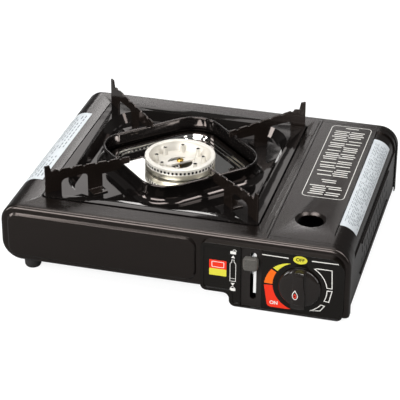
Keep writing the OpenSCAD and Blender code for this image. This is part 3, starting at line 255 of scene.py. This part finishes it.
# Drip pan: enamelled sheet steel with a sloped basin and a rolled square ring round the burner.
# Vitreous enamel is black glass: very glossy, with a slow ripple where it flowed in the kiln.
pan_enamel, tree, shader = start_material("black_vitreous_enamel", IOR=1.5, Specular_Tint=srgb(WARM_GLINT))
ripple = noise(tree, 26, 1.0)
vary(tree, shader, ripple, "#080707", "#100e0d", 0.04, 0.09, gloss_pattern=noise(tree, 1.2, 1.0))
emboss(tree, shader, ripple, 0.3, 0.6)
dressed("drip_pan", "black_enamel", pan_enamel, edge=0.35)

# Pan supports: four notched steel plates that stand on the pan, dipped in the same enamel.
# The dip coat is thinner on them, so they are a little browner than the pan and finely pitted.
support_enamel, tree, shader = start_material("dipped_support_enamel", IOR=1.55,
                                              Specular_Tint=srgb(WARM_GLINT))
vary(tree, shader, noise(tree, 22, 2.0), "#110d0b", "#1b1613", 0.07, 0.14)
emboss(tree, shader, noise(tree, 1.6, 2.0), 0.3, 0.05)
for corner in ("front_left", "front_right", "rear_left", "rear_right"):
    dressed("pan_support_" + corner, "black_enamel", support_enamel, edge=0.5)

# Burner: a cup turned from aluminium, with a die-cast head and a bridge across it.
# The shot-blasted castings are pale and dull with a fine grain. The insides of the ports and boss holes
# and the chamber behind the ports are painted near black: painted shade that also stands for soot.
BOSS_TURN = 10
BOSS_STEP = 45
BOSS_OUT = 23.5 * MM
BOSS_HOLE = 1.05 * MM
BOSS_FOOT = 72.5 * MM
PORT_LOW = 74 * MM
PORT_TOP = 77.3 * MM
PORT_IN = 31 * MM
PORT_OUT = 34.4 * MM
CHAMBER_IN = 28.5 * MM
CHAMBER_OUT = 33.2 * MM
CHAMBER_TOP = PORT_TOP + 0.3 * MM

cast_aluminium, tree, shader = start_material("blasted_aluminium_casting", Metallic=0.5)
grain = noise(tree, 0.7, 3.0)
vary(tree, shader, noise(tree, 11, 3.0), "#c5c1b8", "#dbd7cf", 0.36, 0.5, gloss_pattern=grain)
emboss(tree, shader, grain, 0.3, 0.05)
turned_aluminium, tree, shader = start_material("turned_aluminium", Metallic=1.0)
vary(tree, shader, streaks(tree, (25, 25, 0.4)), "#b5af9e", "#c4bfaf", 0.34, 0.42)
port_soot_and_painted_shade, tree, shader = start_material("port_soot_and_painted_shade", IOR=1.4)
vary(tree, shader, noise(tree, 1.5, 2.0), "#0b0908", "#1a1613", 0.6, 0.8)

dressed("burner_cup", "burner_aluminium", turned_aluminium, edge=0.25)
dressed("burner_bridge", "burner_aluminium", cast_aluminium, edge=0.25)
head = dressed("burner_head", "burner_aluminium", cast_aluminium, port_soot_and_painted_shade, turned_aluminium, edge=0.2)
for face in head.data.polygons:
    spoke = Vector((face.center.x - PAN_X, face.center.y - CASE_BACK))
    outward = face.normal.xy.dot(spoke.normalized()) if spoke.length else 0.0
    turn = (math.degrees(math.atan2(spoke.y, spoke.x)) - BOSS_TURN) % BOSS_STEP
    aside = spoke.length * math.sin(math.radians(min(turn, BOSS_STEP - turn)))
    in_port = PORT_LOW < face.center.z < PORT_TOP and PORT_IN < spoke.length < PORT_OUT
    in_boss = Vector((aside, spoke.length - BOSS_OUT)).length < BOSS_HOLE and face.center.z > BOSS_FOOT
    in_chamber = CHAMBER_IN < spoke.length < CHAMBER_OUT and face.center.z < CHAMBER_TOP
    port_wall = in_port and abs(outward) < 0.98
    chamber_wall = in_chamber and (face.normal.z < -0.1 or outward < -0.95)
    # Faces inside the ports, the boss holes and the chamber get the near-black material: painted shade, with
    # soot.
    if port_wall or in_boss or chamber_wall:
        face.material_index = 1
    elif face.center.z < PORT_LOW and outward > 0.9:
        face.material_index = 2

# Brass fittings: the screw that holds the bridge, the gas jet and the spindle of the valve.
# All three are turned from bar, and the brass has dulled a little in patches.
brass, tree, shader = start_material("turned_brass", Metallic=1.0)
vary(tree, shader, noise(tree, 2.5, 3.0), "#b58a36", "#e0bd63", 0.2, 0.36)
for node in ("bridge_screw", "gas_jet", "valve_spindle"):
    dressed(node, "brass", brass, edge=0.15)

# Steel fittings: partition, saddles, lever slide, fork, hinge pin, electrode, mixing tube and screws.
# They are bright zinc plate, a soft grey metal with a faint cloudy spangle. The lever's guide is zinc plate
# too, but coloured near white with little metal: a painted reflection of the white floor that its bright zinc
# would mirror. The body of the regulator is a blasted casting.
zinc_plate, tree, shader = start_material("bright_zinc_plate", Metallic=1.0)
spot = add(tree, "ShaderNodeTexCoord").outputs["Object"]
spangle = add(tree, "ShaderNodeTexVoronoi", {"Vector": spot, "Scale": 1 / (6 * MM)}).outputs["Distance"]
vary(tree, shader, spangle, "#c4c6c8", "#dfe1e3", 0.25, 0.4)
# The guide's near-white, almost non-metallic colour is a painted reflection of the floor, not the zinc's own
# tone.
zinc_with_painted_reflection, tree, shader = start_material("zinc_coloured_as_floor_reflection", Metallic=0.1)
vary(tree, shader, noise(tree, 5, 2.0), "#f4f4f2", "#fdfdfc", 0.3, 0.4)
for node in ("bay_partition", "cartridge_saddles", "lever_plate", "push_fork", "hinge_pin",
             "burner_screws", "cover_screws", "foot_screws", "electrode"):
    dressed(node, "zinc_steel", zinc_plate, edge=0.15)
dressed("slide_guide", "zinc_steel", zinc_with_painted_reflection, edge=0.15)
dressed("mixing_tube", "tube_steel", zinc_plate, edge=0.15)
dressed("regulator_body", "die_cast_zinc", cast_aluminium, edge=0.3)

# Regulator cover: a steel stamping that holds the diaphragm down, screwed to the regulator's body.
# Its yellow passivated zinc coat shimmers from gold to green.
yellow_zinc, tree, shader = start_material("yellow_passivated_zinc", Metallic=1.0)
vary(tree, shader, noise(tree, 7, 2.0), "#b9983c", "#cdbb6a", 0.24, 0.36)
dressed("diaphragm_cover", "yellow_zinc", yellow_zinc, edge=0.2)

# Control panel: a glossy black ABS moulding, clipped over the right half of the front wall.
# It has a raised border, a matte channel for the lever and a groove round the knob.
PANEL_FACE = -138.5
CHANNEL_LEFT = 68 * MM
CHANNEL_RIGHT = 87.2 * MM
CHANNEL_FLOOR = -138 * MM
KNOB_AT = Vector((124.0, 31.5))

panel_gloss, tree, shader = start_material("glossy_black_abs", IOR=1.38)
vary(tree, shader, noise(tree, 20, 2.0), "#0c0a08", "#13100c", 0.12, 0.2)
panel_matte, tree, shader = start_material("eroded_black_abs", IOR=1.42)
vary(tree, shader, noise(tree, 0.6, 2.0), "#15110f", "#1e1916", 0.5, 0.65)
panel = dressed("control_panel", "panel_plastic", panel_gloss, panel_matte, edge=0.3)
for face in panel.data.polygons:
    sunk = face.center.y - CASE_BACK > CHANNEL_FLOOR
    if CHANNEL_LEFT < face.center.x < CHANNEL_RIGHT and sunk and face.normal.y < -0.9:
        face.material_index = 1

# Print on the panel: screen ink in several colours that shows the settings of the knob.
# The ink is a film of a few hundredths of a millimetre, so each mark is a thin sheet set into the face.
INK_FOOT = -0.04
INK_TOP = 0.06
SECOND_COAT = 0.1
RING_LINE = 25.5
BAND_LINE = 25.8
OFF_AT = (123.5, 60.7)
OFF_WIDE = 6.6
OFF_TALL = 4.2
ON_AT = (99.8, 11.2)


def on_panel(u, v, lift):
    """A point on the panel's face from X and Z in millimetres."""
    return Vector((u * MM, (PANEL_FACE - lift) * MM + CASE_BACK, v * MM))


def printed(name, body, ink, loops, place, lift=INK_TOP):
    """Thin sheets of one ink: outlines in millimetres on the surface that place gives."""
    shape = bmesh.new()
    for loop in loops:
        under = [shape.verts.new(place(u, v, INK_FOOT)) for u, v in loop]
        over = [shape.verts.new(place(u, v, lift)) for u, v in loop]
        shape.faces.new(under[::-1])
        shape.faces.new(over)
        for i, vert in enumerate(under):
            shape.faces.new((vert, under[i - 1], over[i - 1], over[i]))
    return made(name, shape, body, inks[ink])


def on_the_panel(name, ink, loops, lift=INK_TOP):
    """Ink on the face of the panel."""
    return printed(name, "stove", ink, loops, on_panel, lift)


def stroke(points, width, closed=True):
    """A line of even width along the points, as one four-sided outline for each stretch."""
    points = [Vector(p) for p in points]
    count = len(points)
    edges = []
    for i, here in enumerate(points):
        ways = []
        if closed or i > 0:
            ways.append((here - points[i - 1]).normalized())
        if closed or i < count - 1:
            ways.append((points[(i + 1) % count] - here).normalized())
        normals = [Vector((-way.y, way.x)) for way in ways]
        mean = sum(normals, Vector((0, 0))).normalized()
        offset = mean * width / 2 / max(0.5, mean.dot(normals[0]))
        edges.append((here - offset, here + offset))
    last = count if closed else count - 1
    pairs = [(edges[i], edges[(i + 1) % count]) for i in range(last)]
    return [[a[0], b[0], b[1], a[1]] for a, b in pairs]


def laid(maker, at, lift, place):
    """The mesh that a maker object gives, laid on the surface that place gives; the maker is then removed."""
    mesh = bpy.data.meshes.new_from_object(maker.evaluated_get(bpy.context.evaluated_depsgraph_get()))
    bpy.data.objects.remove(maker)
    for vert in mesh.vertices:
        vert.co = place(at[0] + vert.co.x, at[1] + vert.co.y, lift + vert.co.z)
    return mesh


def word_on_panel(name, ink, word, size, at):
    """Plain capitals in ink on the face of the panel."""
    curve = bpy.data.curves.new(name, "FONT")
    curve.body = word
    curve.size = size
    curve.align_x = "CENTER"
    curve.align_y = "CENTER"
    curve.extrude = 0.05
    curve.offset = 0.12
    setting = bpy.data.objects.new(name, curve)
    bpy.context.scene.collection.objects.link(setting)
    mesh = laid(setting, at, INK_TOP, on_panel)
    mesh.materials.clear()
    mesh.materials.append(inks[ink])
    return put_on(bpy.data.objects.new(name, mesh), "stove")


inks = {}
for name, dark, pale in (
    ("white_ink", "#dcdad4", "#eceae5"),
    ("dull_yellow_ink", "#cfc83c", "#dad44a"),
    ("orange_ink", "#e8631a", "#f27424"),
    ("red_ink", "#dc2f1c", "#ea3d27"),
    ("black_ink", "#141210", "#1f1c19"),
    ("slate_ink", "#5f6569", "#72787c"),
    ("grey_ink", "#b8b6b1", "#c6c4bf"),
):
    inks[name], tree, shader = start_material(name, IOR=1.2)
    vary(tree, shader, noise(tree, 0.4, 2.0), dark, pale, 0.35, 0.5)

turns = [math.tau * i / 36 for i in range(36)]
oval = [(OFF_AT[0] + OFF_WIDE * math.cos(a), OFF_AT[1] + OFF_TALL * math.sin(a)) for a in turns]
on_the_panel("off_oval", "dull_yellow_ink", [oval])
word_on_panel("off_word", "black_ink", "OFF", 4.6, OFF_AT)
rules = stroke([(87.6, 61.3), (112.7, 61.1)], 0.9, False) + stroke([(134.3, 61.4), (160.3, 61.7)], 0.9, False)
fields = (
    arc(KNOB_AT, 59, 8, RING_LINE, RING_LINE) + [(154.1, 35.1), (153.3, 54.2), (139.5, 54.2)],
    arc(KNOB_AT, 1, -25, RING_LINE, RING_LINE, 10) + [(151.6, 20.2), (154.2, 32.4)],
    arc(KNOB_AT, -37, -66, RING_LINE, RING_LINE, 10) + [(143.8, 9.6), (147.8, 15.2)],
)
outlines = [quad for field in fields for quad in stroke(field, 0.8)]
on_the_panel("setting_lines", "white_ink", rules + outlines)
spark_edge = [(115.6, 7.0), (112.5, 6.4), (96.6, 6.4), (94.4, 7.2), (93.2, 9.0), (90.1, 29.6)]
for name, ink, first, last, outer in (
    ("low_band", "dull_yellow_ink", 112, 146, arc(KNOB_AT, 146, 112, 31, 26.2)),
    ("middle_band", "orange_ink", 150, 180, arc(KNOB_AT, 180, 150, 33.8, 31.4)),
    ("spark_band", "red_ink", 183, 250, spark_edge),
):
    on_the_panel(name, ink, [arc(KNOB_AT, first, last, BAND_LINE, BAND_LINE) + outer])
word_on_panel("on_word", "white_ink", "ON", 5.0, ON_AT)

# Print beside the lever: an outlined cartridge with an arrow at each end and an open and a shut
# padlock, then a paper sticker in red and yellow that is left plain.
MARK_LEFT = 57.6
MARK_RIGHT = 63
MARK_MIDDLE = 60.3
STICKER_LEFT = 37.6
STICKER_RIGHT = 54.1
STICKER_LOW = 32
STICKER_PARTING = 39.2
STICKER_TOP = 48.5

cartridge = [(MARK_LEFT, 28), (MARK_LEFT, 46.5), (58.6, 48.2), (59.2, 48.6), (59.2, 51),
             (61.4, 51), (61.4, 48.6), (62, 48.2), (MARK_RIGHT, 46.5), (MARK_RIGHT, 28)]
marks = stroke(cartridge, 0.45)
marks += stroke([(MARK_LEFT, 31), (MARK_RIGHT, 31)], 0.4, False)
marks += [[(58.4, 53), (62.2, 53), (MARK_MIDDLE, 55.8)], [(58.4, 26), (MARK_MIDDLE, 23.2), (62.2, 26)]]
for low, swing in ((57.2, 1.4), (17.6, 0.0)):
    marks += [rounded_box(MARK_LEFT, low, MARK_RIGHT, low + 3, 0.5)]
    marks += stroke(arc((MARK_MIDDLE + swing, low + 3), 0, 180, 1.7, 1.7, 12), 0.45, False)
on_the_panel("lever_marks", "white_ink", marks)
for name, ink, low, high in (("sticker_red", "red_ink", STICKER_PARTING, STICKER_TOP),
                             ("sticker_yellow", "dull_yellow_ink", STICKER_LOW, STICKER_PARTING)):
    on_the_panel(name, ink, [rounded_box(STICKER_LEFT, low, STICKER_RIGHT, high, 0.5)])
window = stroke(rounded_box(40.2, 41, 51.6, 46.6, 0.6), 0.6)
on_the_panel("sticker_window", "white_ink", window, lift=SECOND_COAT)

# Knob and lever tab: ABS with the fine grain of a spark-eroded mould.
# The knob is pushed on the flat of the valve spindle, the tab on the end of the lever plate.
# A flame is printed on the knob's grip in two colours.
GRIP_ROUND = 11.0
KNOB_FRONT = -149.0
FLAME_AT = KNOB_AT - Vector((2.4, 2.8))
CORE_SIZE = 0.55
CORE_DROP = 0.8


def on_grip(u, v, lift):
    """A point on the round top of the knob's grip bar."""
    aside = u - KNOB_AT.x
    rise = math.sqrt((GRIP_ROUND + lift) ** 2 - aside ** 2) - GRIP_ROUND
    return Vector((u * MM, (KNOB_FRONT - rise) * MM + CASE_BACK, v * MM))


knob_abs, tree, shader = start_material("grained_black_abs", IOR=1.5)
grain = noise(tree, 0.5, 2.0)
vary(tree, shader, grain, "#15110f", "#1f1a17", 0.13, 0.2)
emboss(tree, shader, grain, 0.3, 0.03)
dressed("knob", "knob_plastic", knob_abs, edge=0.6, sharp=28)

side = [(1, 3.2), (2.1, 1.4), (2.6, -0.6), (2.2, -2.6), (1.1, -4)]
outline = [(0, 5), *side, (0, -4.4), *((-u, v) for u, v in side[::-1])]
flame = [(FLAME_AT.x + u, FLAME_AT.y + v) for u, v in outline]
core = [(FLAME_AT.x + CORE_SIZE * u, FLAME_AT.y - CORE_DROP + CORE_SIZE * v) for u, v in outline]
slices = [[core[1], core[0], core[-1]], [core[5], core[6], core[7]]]
slices[1:1] = [[core[i], core[i - 1], core[1 - i], core[-i]] for i in range(2, 6)]
printed("knob_flame_line", "knob", "white_ink", stroke(flame, 0.6), on_grip, lift=SECOND_COAT)
printed("knob_flame_core", "knob", "red_ink", slices, on_grip)

tab_abs, tree, shader = start_material("satin_grey_abs", IOR=1.5)
vary(tree, shader, noise(tree, 0.5, 2.0), "#4b4945", "#595652", 0.22, 0.34)
dressed("lever_tab", "tab_plastic", tab_abs, edge=1.0)

# Small inner parts: the feet and the inlet's seal are moulded rubber, pushed into their seats.
# The igniter, its cam and its plunger are plastic mouldings, its lead has a silicone sleeve, and the
# electrode stands in a glazed ceramic insulator.
rubber, tree, shader = start_material("black_moulded_rubber", IOR=1.5)
vary(tree, shader, noise(tree, 3, 3.0), "#1d1c1b", "#2d2b2a", 0.55, 0.75)
for node in ("feet", "inlet_seal"):
    dressed(node, "seal_rubber", rubber, edge=0.5)

for node, slot, name, dark, pale, low, high, edge in (
    ("igniter_cam", "cam_plastic", "natural_acetal", "#ded9cc", "#ece8dd", 0.35, 0.5, 0.3),
    ("piezo_igniter", "igniter_plastic", "ivory_nylon", "#e6e2d6", "#f3f0e8", 0.25, 0.4, 0.3),
    ("piezo_plunger", "plunger_plastic", "red_nylon", "#b8321f", "#cf4430", 0.3, 0.45, 0.3),
    ("ignition_wire", "lead_sleeve", "silicone_sleeve", "#cfc9ba", "#ddd8cb", 0.45, 0.6, 0.0),
    ("electrode_insulator", "insulator_ceramic", "glazed_ceramic", "#efece4", "#faf8f3", 0.1, 0.2, 0.3),
):
    material, tree, shader = start_material(name, IOR=1.5)
    vary(tree, shader, noise(tree, 4, 2.0), dark, pale, low, high)
    dressed(node, slot, material, edge=edge)

# Labels and print on the case: a panel of small print on the lid, and a foil label on each shoulder.
# The lines of print are left as plain bars. The foil is satin aluminium with a clear lacquer.
LID_TOP = 74
LID_PRINT_X = 123
LINE_PITCH = 4.2
HALF_LINE = 16.0
ROWS_LIFT = 0.08
BAR_THICK = 0.1
BAR_CHANCE = 0.86
RIGHT_BEND = {"side": 1, "x": 150, "z": 55.2, "radius": 17.3, "start": math.radians(27)}
LEFT_BEND = {"side": -1, "x": -152, "z": 56, "radius": 18, "start": math.radians(30)}

foil, tree, shader = start_material("satin_label_foil", Metallic=0.15, IOR=1.3)
vary(tree, shader, streaks(tree, (30, 0.5, 30)), "#b4b9bc", "#c7cbce", 0.4, 0.52)

rows_tree = bpy.data.node_groups.new("rows_of_plain_bars", "GeometryNodeTree")
given = {}
for label, kind in (("Width", "Float"), ("Height", "Float"), ("Columns", "Int"), ("Rows", "Int"),
                    ("Bar Length", "Float"), ("Bar Height", "Float"), ("Shortest", "Float"),
                    ("Sway", "Float"), ("Seed", "Int"), ("Ink", "Material")):
    given[label] = rows_tree.interface.new_socket(label, in_out="INPUT", socket_type="NodeSocket" + kind)
rows_tree.interface.new_socket("Geometry", in_out="OUTPUT", socket_type="NodeSocketGeometry")
asked = add(rows_tree, "NodeGroupInput").outputs
seed = asked["Seed"]
grid = add(rows_tree, "GeometryNodeMeshGrid", {"Size X": asked["Width"], "Size Y": asked["Height"],
                                               "Vertices X": asked["Columns"], "Vertices Y": asked["Rows"]})
spot = add(rows_tree, "GeometryNodeInputPosition").outputs["Position"]
row = add(rows_tree, "ShaderNodeSeparateXYZ", {"Vector": spot}).outputs["Y"]
aside = add(rows_tree, "FunctionNodeRandomValue",
            {"Min": (-1, 0, 0), "Max": (1, 0, 0), "ID": row, "Seed": seed}, data_type="FLOAT_VECTOR")
sway = add(rows_tree, "ShaderNodeVectorMath", {"Vector": aside.outputs["Value"], "Scale": asked["Sway"]},
           operation="SCALE")
strewn = add(rows_tree, "GeometryNodeSetPosition", {"Geometry": grid.outputs["Mesh"],
                                                    "Offset": sway.outputs["Vector"]})
size = add(rows_tree, "ShaderNodeCombineXYZ",
           {"X": asked["Bar Length"], "Y": asked["Bar Height"], "Z": BAR_THICK})
bar = add(rows_tree, "GeometryNodeMeshCube", {"Size": size.outputs["Vector"]})
least = add(rows_tree, "ShaderNodeCombineXYZ", {"X": asked["Shortest"], "Y": 1.0, "Z": 1.0}).outputs["Vector"]
lengths = add(rows_tree, "FunctionNodeRandomValue", {"Min": least, "Max": (1, 1, 1), "Seed": seed},
              data_type="FLOAT_VECTOR")
kept = add(rows_tree, "FunctionNodeRandomValue", {"Probability": BAR_CHANCE, "Seed": seed},
           data_type="BOOLEAN")
spread = add(rows_tree, "GeometryNodeInstanceOnPoints", {
    "Points": strewn.outputs["Geometry"], "Selection": kept.outputs["Value"], "Instance": bar.outputs["Mesh"],
    "Scale": lengths.outputs["Value"]})
solid = add(rows_tree, "GeometryNodeRealizeInstances", {"Geometry": spread.outputs["Instances"]})
inked = add(rows_tree, "GeometryNodeSetMaterial", {"Geometry": solid.outputs["Geometry"],
                                                   "Material": asked["Ink"]})
add(rows_tree, "NodeGroupOutput", {"Geometry": inked.outputs["Geometry"]})


def print_rows(name, body, slot, place, at, **values):
    """Rows of plain bars from the node tree, made one mesh and laid on the surface that place gives."""
    sheet = bpy.data.objects.new(name, bpy.data.meshes.new(name))
    bpy.context.scene.collection.objects.link(sheet)
    rows = sheet.modifiers.new("rows", "NODES")
    rows.node_group = rows_tree
    for label, value in values.items():
        rows[given[label.replace("_", " ")].identifier] = value
    return put_on(bpy.data.objects.new(name, laid(sheet, at, ROWS_LIFT, place)), body)


def foil_label(name, body, span, height, place):
    """A foil sheet bent over a shoulder; span is its ends and height its way over the bend."""
    shape = bmesh.new()
    steps = 24
    rises = [height * i / steps for i in range(steps + 1)]
    top = [[shape.verts.new(place(u, v, INK_TOP)) for u in span] for v in rises]
    under = [[shape.verts.new(place(u, v, INK_FOOT)) for u in span] for v in rises]
    for a, b in zip(top, top[1:]):
        shape.faces.new((a[0], a[1], b[1], b[0]))
    for a, b in zip(under, under[1:]):
        shape.faces.new((a[0], b[0], b[1], a[1]))
    for end in (0, 1):
        for i in range(steps):
            shape.faces.new((top[i][end], under[i][end], under[i + 1][end], top[i + 1][end]))
    for i in (0, steps):
        shape.faces.new((top[i][0], under[i][0], under[i][1], top[i][1]))
    return made(name, shape, body, foil, sharp=30)


def on_lid(u, v, lift):
    """A point on the flat of the lid from X and Y in millimetres."""
    return Vector((u * MM, v * MM + CASE_BACK, (LID_TOP + lift) * MM))


def over_bend(bend, u, v, lift):
    """A point on a rounded shoulder and the flat above it: u along the shoulder, v up over the bend."""
    turn = bend["start"] + v / bend["radius"]
    if turn < math.pi / 2:
        out = (bend["radius"] + lift) * math.cos(turn)
        up = (bend["radius"] + lift) * math.sin(turn)
    else:
        out = (math.pi / 2 - turn) * bend["radius"]
        up = bend["radius"] + lift
    x = bend["x"] + bend["side"] * out
    return Vector((x * MM, bend["side"] * u * MM + CASE_BACK, (bend["z"] + up) * MM))


def on_right_shoulder(u, v, lift):
    """A point in the recess on the lid's shoulder."""
    return over_bend(RIGHT_BEND, u, v, lift)


def on_left_shoulder(u, v, lift):
    """A point on the left shoulder of the case."""
    return over_bend(LEFT_BEND, u, v, lift)


printed("lid_print_frame", "lid", "grey_ink",
        stroke(rounded_box(102.5, -39.5, 143.6, 119, 5), 0.7), on_lid)
for i, (middle, rows, columns) in enumerate((
    (112.5, 2, 1), (96.0, 6, 2), (70.5, 5, 2), (45.0, 6, 2), (18.0, 6, 2), (-5.0, 2, 1), (-24.5, 5, 2),
)):
    print_rows("lid_print_rows_%d" % i, "lid", "case_paint", on_lid, (LID_PRINT_X, middle),
               Width=HALF_LINE * (columns - 1), Height=LINE_PITCH * (rows - 1), Columns=columns, Rows=rows,
               Bar_Length=15.4, Bar_Height=1.5, Shortest=0.85, Sway=1.4, Seed=3 + i, Ink=inks["grey_ink"])
foil_label("right_label", "lid", (-85, 101), 19.9, on_right_shoulder)
print_rows("right_label_rows", "lid", "case_paint", on_right_shoulder, (8, 9.4), Width=164.0, Height=14.4,
           Columns=24, Rows=10, Bar_Length=6.8, Bar_Height=0.55, Shortest=0.4, Sway=2.0, Seed=5,
           Ink=inks["slate_ink"])
foil_label("left_label", "stove", (-77, 77), 23.8, on_left_shoulder)
print_rows("left_label_rows", "stove", "case_paint", on_left_shoulder, (0, 11.6), Width=134.0, Height=16.4,
           Columns=18, Rows=6, Bar_Length=7.4, Bar_Height=1.0, Shortest=0.4, Sway=2.0, Seed=7,
           Ink=inks["slate_ink"])

# Studio: a sheet of paper for the floor, soft lamps round the stove and the camera.
# The camera stands where the photograph was taken from. Paper that the camera sees is white, and
# what the black enamel mirrors of it is grey.
FLOOR_REACH = 30.0
FLOOR_GLOW = 0.86
SKY = 0.12
LAMPS_AIM = Vector((0, CASE_BACK, 0.05))
AZIMUTH = math.radians(14.637)
ELEVATION = math.radians(28.57)
ROLL = math.radians(0.512)
AIM_HEIGHT = 32.57 * MM
DISTANCE = 1709.6 * MM
SENSOR = 36.0
PICTURE_PIXELS = 400.0
FOCAL_PIXELS = 1699.0
ASIDE_PIXELS = -8.31

floor_mesh = bpy.data.meshes.new("studio_floor")
corners = [(x * FLOOR_REACH, y * FLOOR_REACH, 0) for x, y in ((-1, -1), (1, -1), (1, 1), (-1, 1))]
floor_mesh.from_pydata(corners, [], [(0, 1, 2, 3)])
floor = bpy.data.objects.new("studio_floor", floor_mesh)
bpy.context.scene.collection.objects.link(floor)
paper, tree, shader = start_material("white_studio_paper", Roughness=0.9, Base_Color=srgb("#7e7e7e"),
                                     Specular_IOR_Level=0.0, Emission_Color=(1, 1, 1, 1))
seen = add(tree, "ShaderNodeLightPath")
glow = add(tree, "ShaderNodeMath", {0: seen.outputs["Is Camera Ray"], 1: FLOOR_GLOW}, operation="MULTIPLY")
tree.links.new(glow.outputs["Value"], shader.inputs["Emission Strength"])
floor_mesh.materials.append(paper)

world = bpy.data.worlds.new("studio")
bpy.context.scene.world = world
world.use_nodes = True
world.node_tree.nodes["Background"].inputs["Color"].default_value = (1, 1, 1, 1)
world.node_tree.nodes["Background"].inputs["Strength"].default_value = SKY

for name, place, size, watts in (
    ("rear_left_softbox", (-0.64, 1.5, 0.95), (0.42, 0.3), 0.6),
    ("rear_right_softbox", (-0.15, 1.5, 0.95), (0.26, 0.3), 0.3),
    ("rear_low_softbox", (-0.42, 1.5, 0.57), (0.7, 0.16), 1.8),
    ("high_softbox", (-0.3, 1.1, 1.9), (1.2, 0.9), 9.0),
    ("top_softbox", (-0.35, -0.42, 1.95), (1.4, 0.5), 24.0),
    ("front_softbox", (-0.55, -1.75, 1.05), (1.7, 0.7), 46.0),
    ("right_strip", (1.7, -0.1, 1.0), (0.25, 1.7), 9.0),
    ("right_high_strip", (1.15, 0.0, 1.8), (0.5, 1.4), 19.0),
    ("left_softbox", (-1.7, -0.6, 0.8), (0.4, 0.8), 13.0),
):
    lamp = bpy.data.lights.new(name, "AREA")
    lamp.shape = "RECTANGLE"
    lamp.size, lamp.size_y = size
    lamp.energy = watts
    softbox = bpy.data.objects.new(name, lamp)
    bpy.context.scene.collection.objects.link(softbox)
    softbox.location = place
    softbox.rotation_euler = (LAMPS_AIM - Vector(place)).to_track_quat("-Z", "Y").to_euler()

level = Vector((math.cos(AZIMUTH), math.sin(AZIMUTH), 0))
away = Vector((math.sin(AZIMUTH), -math.cos(AZIMUTH), 0))
back = away * math.cos(ELEVATION) + Vector((0, 0, math.sin(ELEVATION)))
upright = back.cross(level)
right = level * math.cos(ROLL) + upright * math.sin(ROLL)
up = upright * math.cos(ROLL) - level * math.sin(ROLL)
eye = Vector((0, CASE_BACK, AIM_HEIGHT)) + back * DISTANCE
lens = bpy.data.cameras.new("camera")
lens.sensor_width = SENSOR
lens.lens = SENSOR * FOCAL_PIXELS / PICTURE_PIXELS
lens.shift_x = ASIDE_PIXELS / PICTURE_PIXELS
lens.clip_start = 0.1
lens.clip_end = 100.0
camera = bpy.data.objects.new("camera", lens)
bpy.context.scene.collection.objects.link(camera)
camera.matrix_world = Matrix((
    (right.x, up.x, back.x, eye.x),
    (right.y, up.y, back.y, eye.y),
    (right.z, up.z, back.z, eye.z),
    (0, 0, 0, 1),
))
bpy.context.scene.camera = camera
bpy.context.scene.view_settings.view_transform = "Standard"
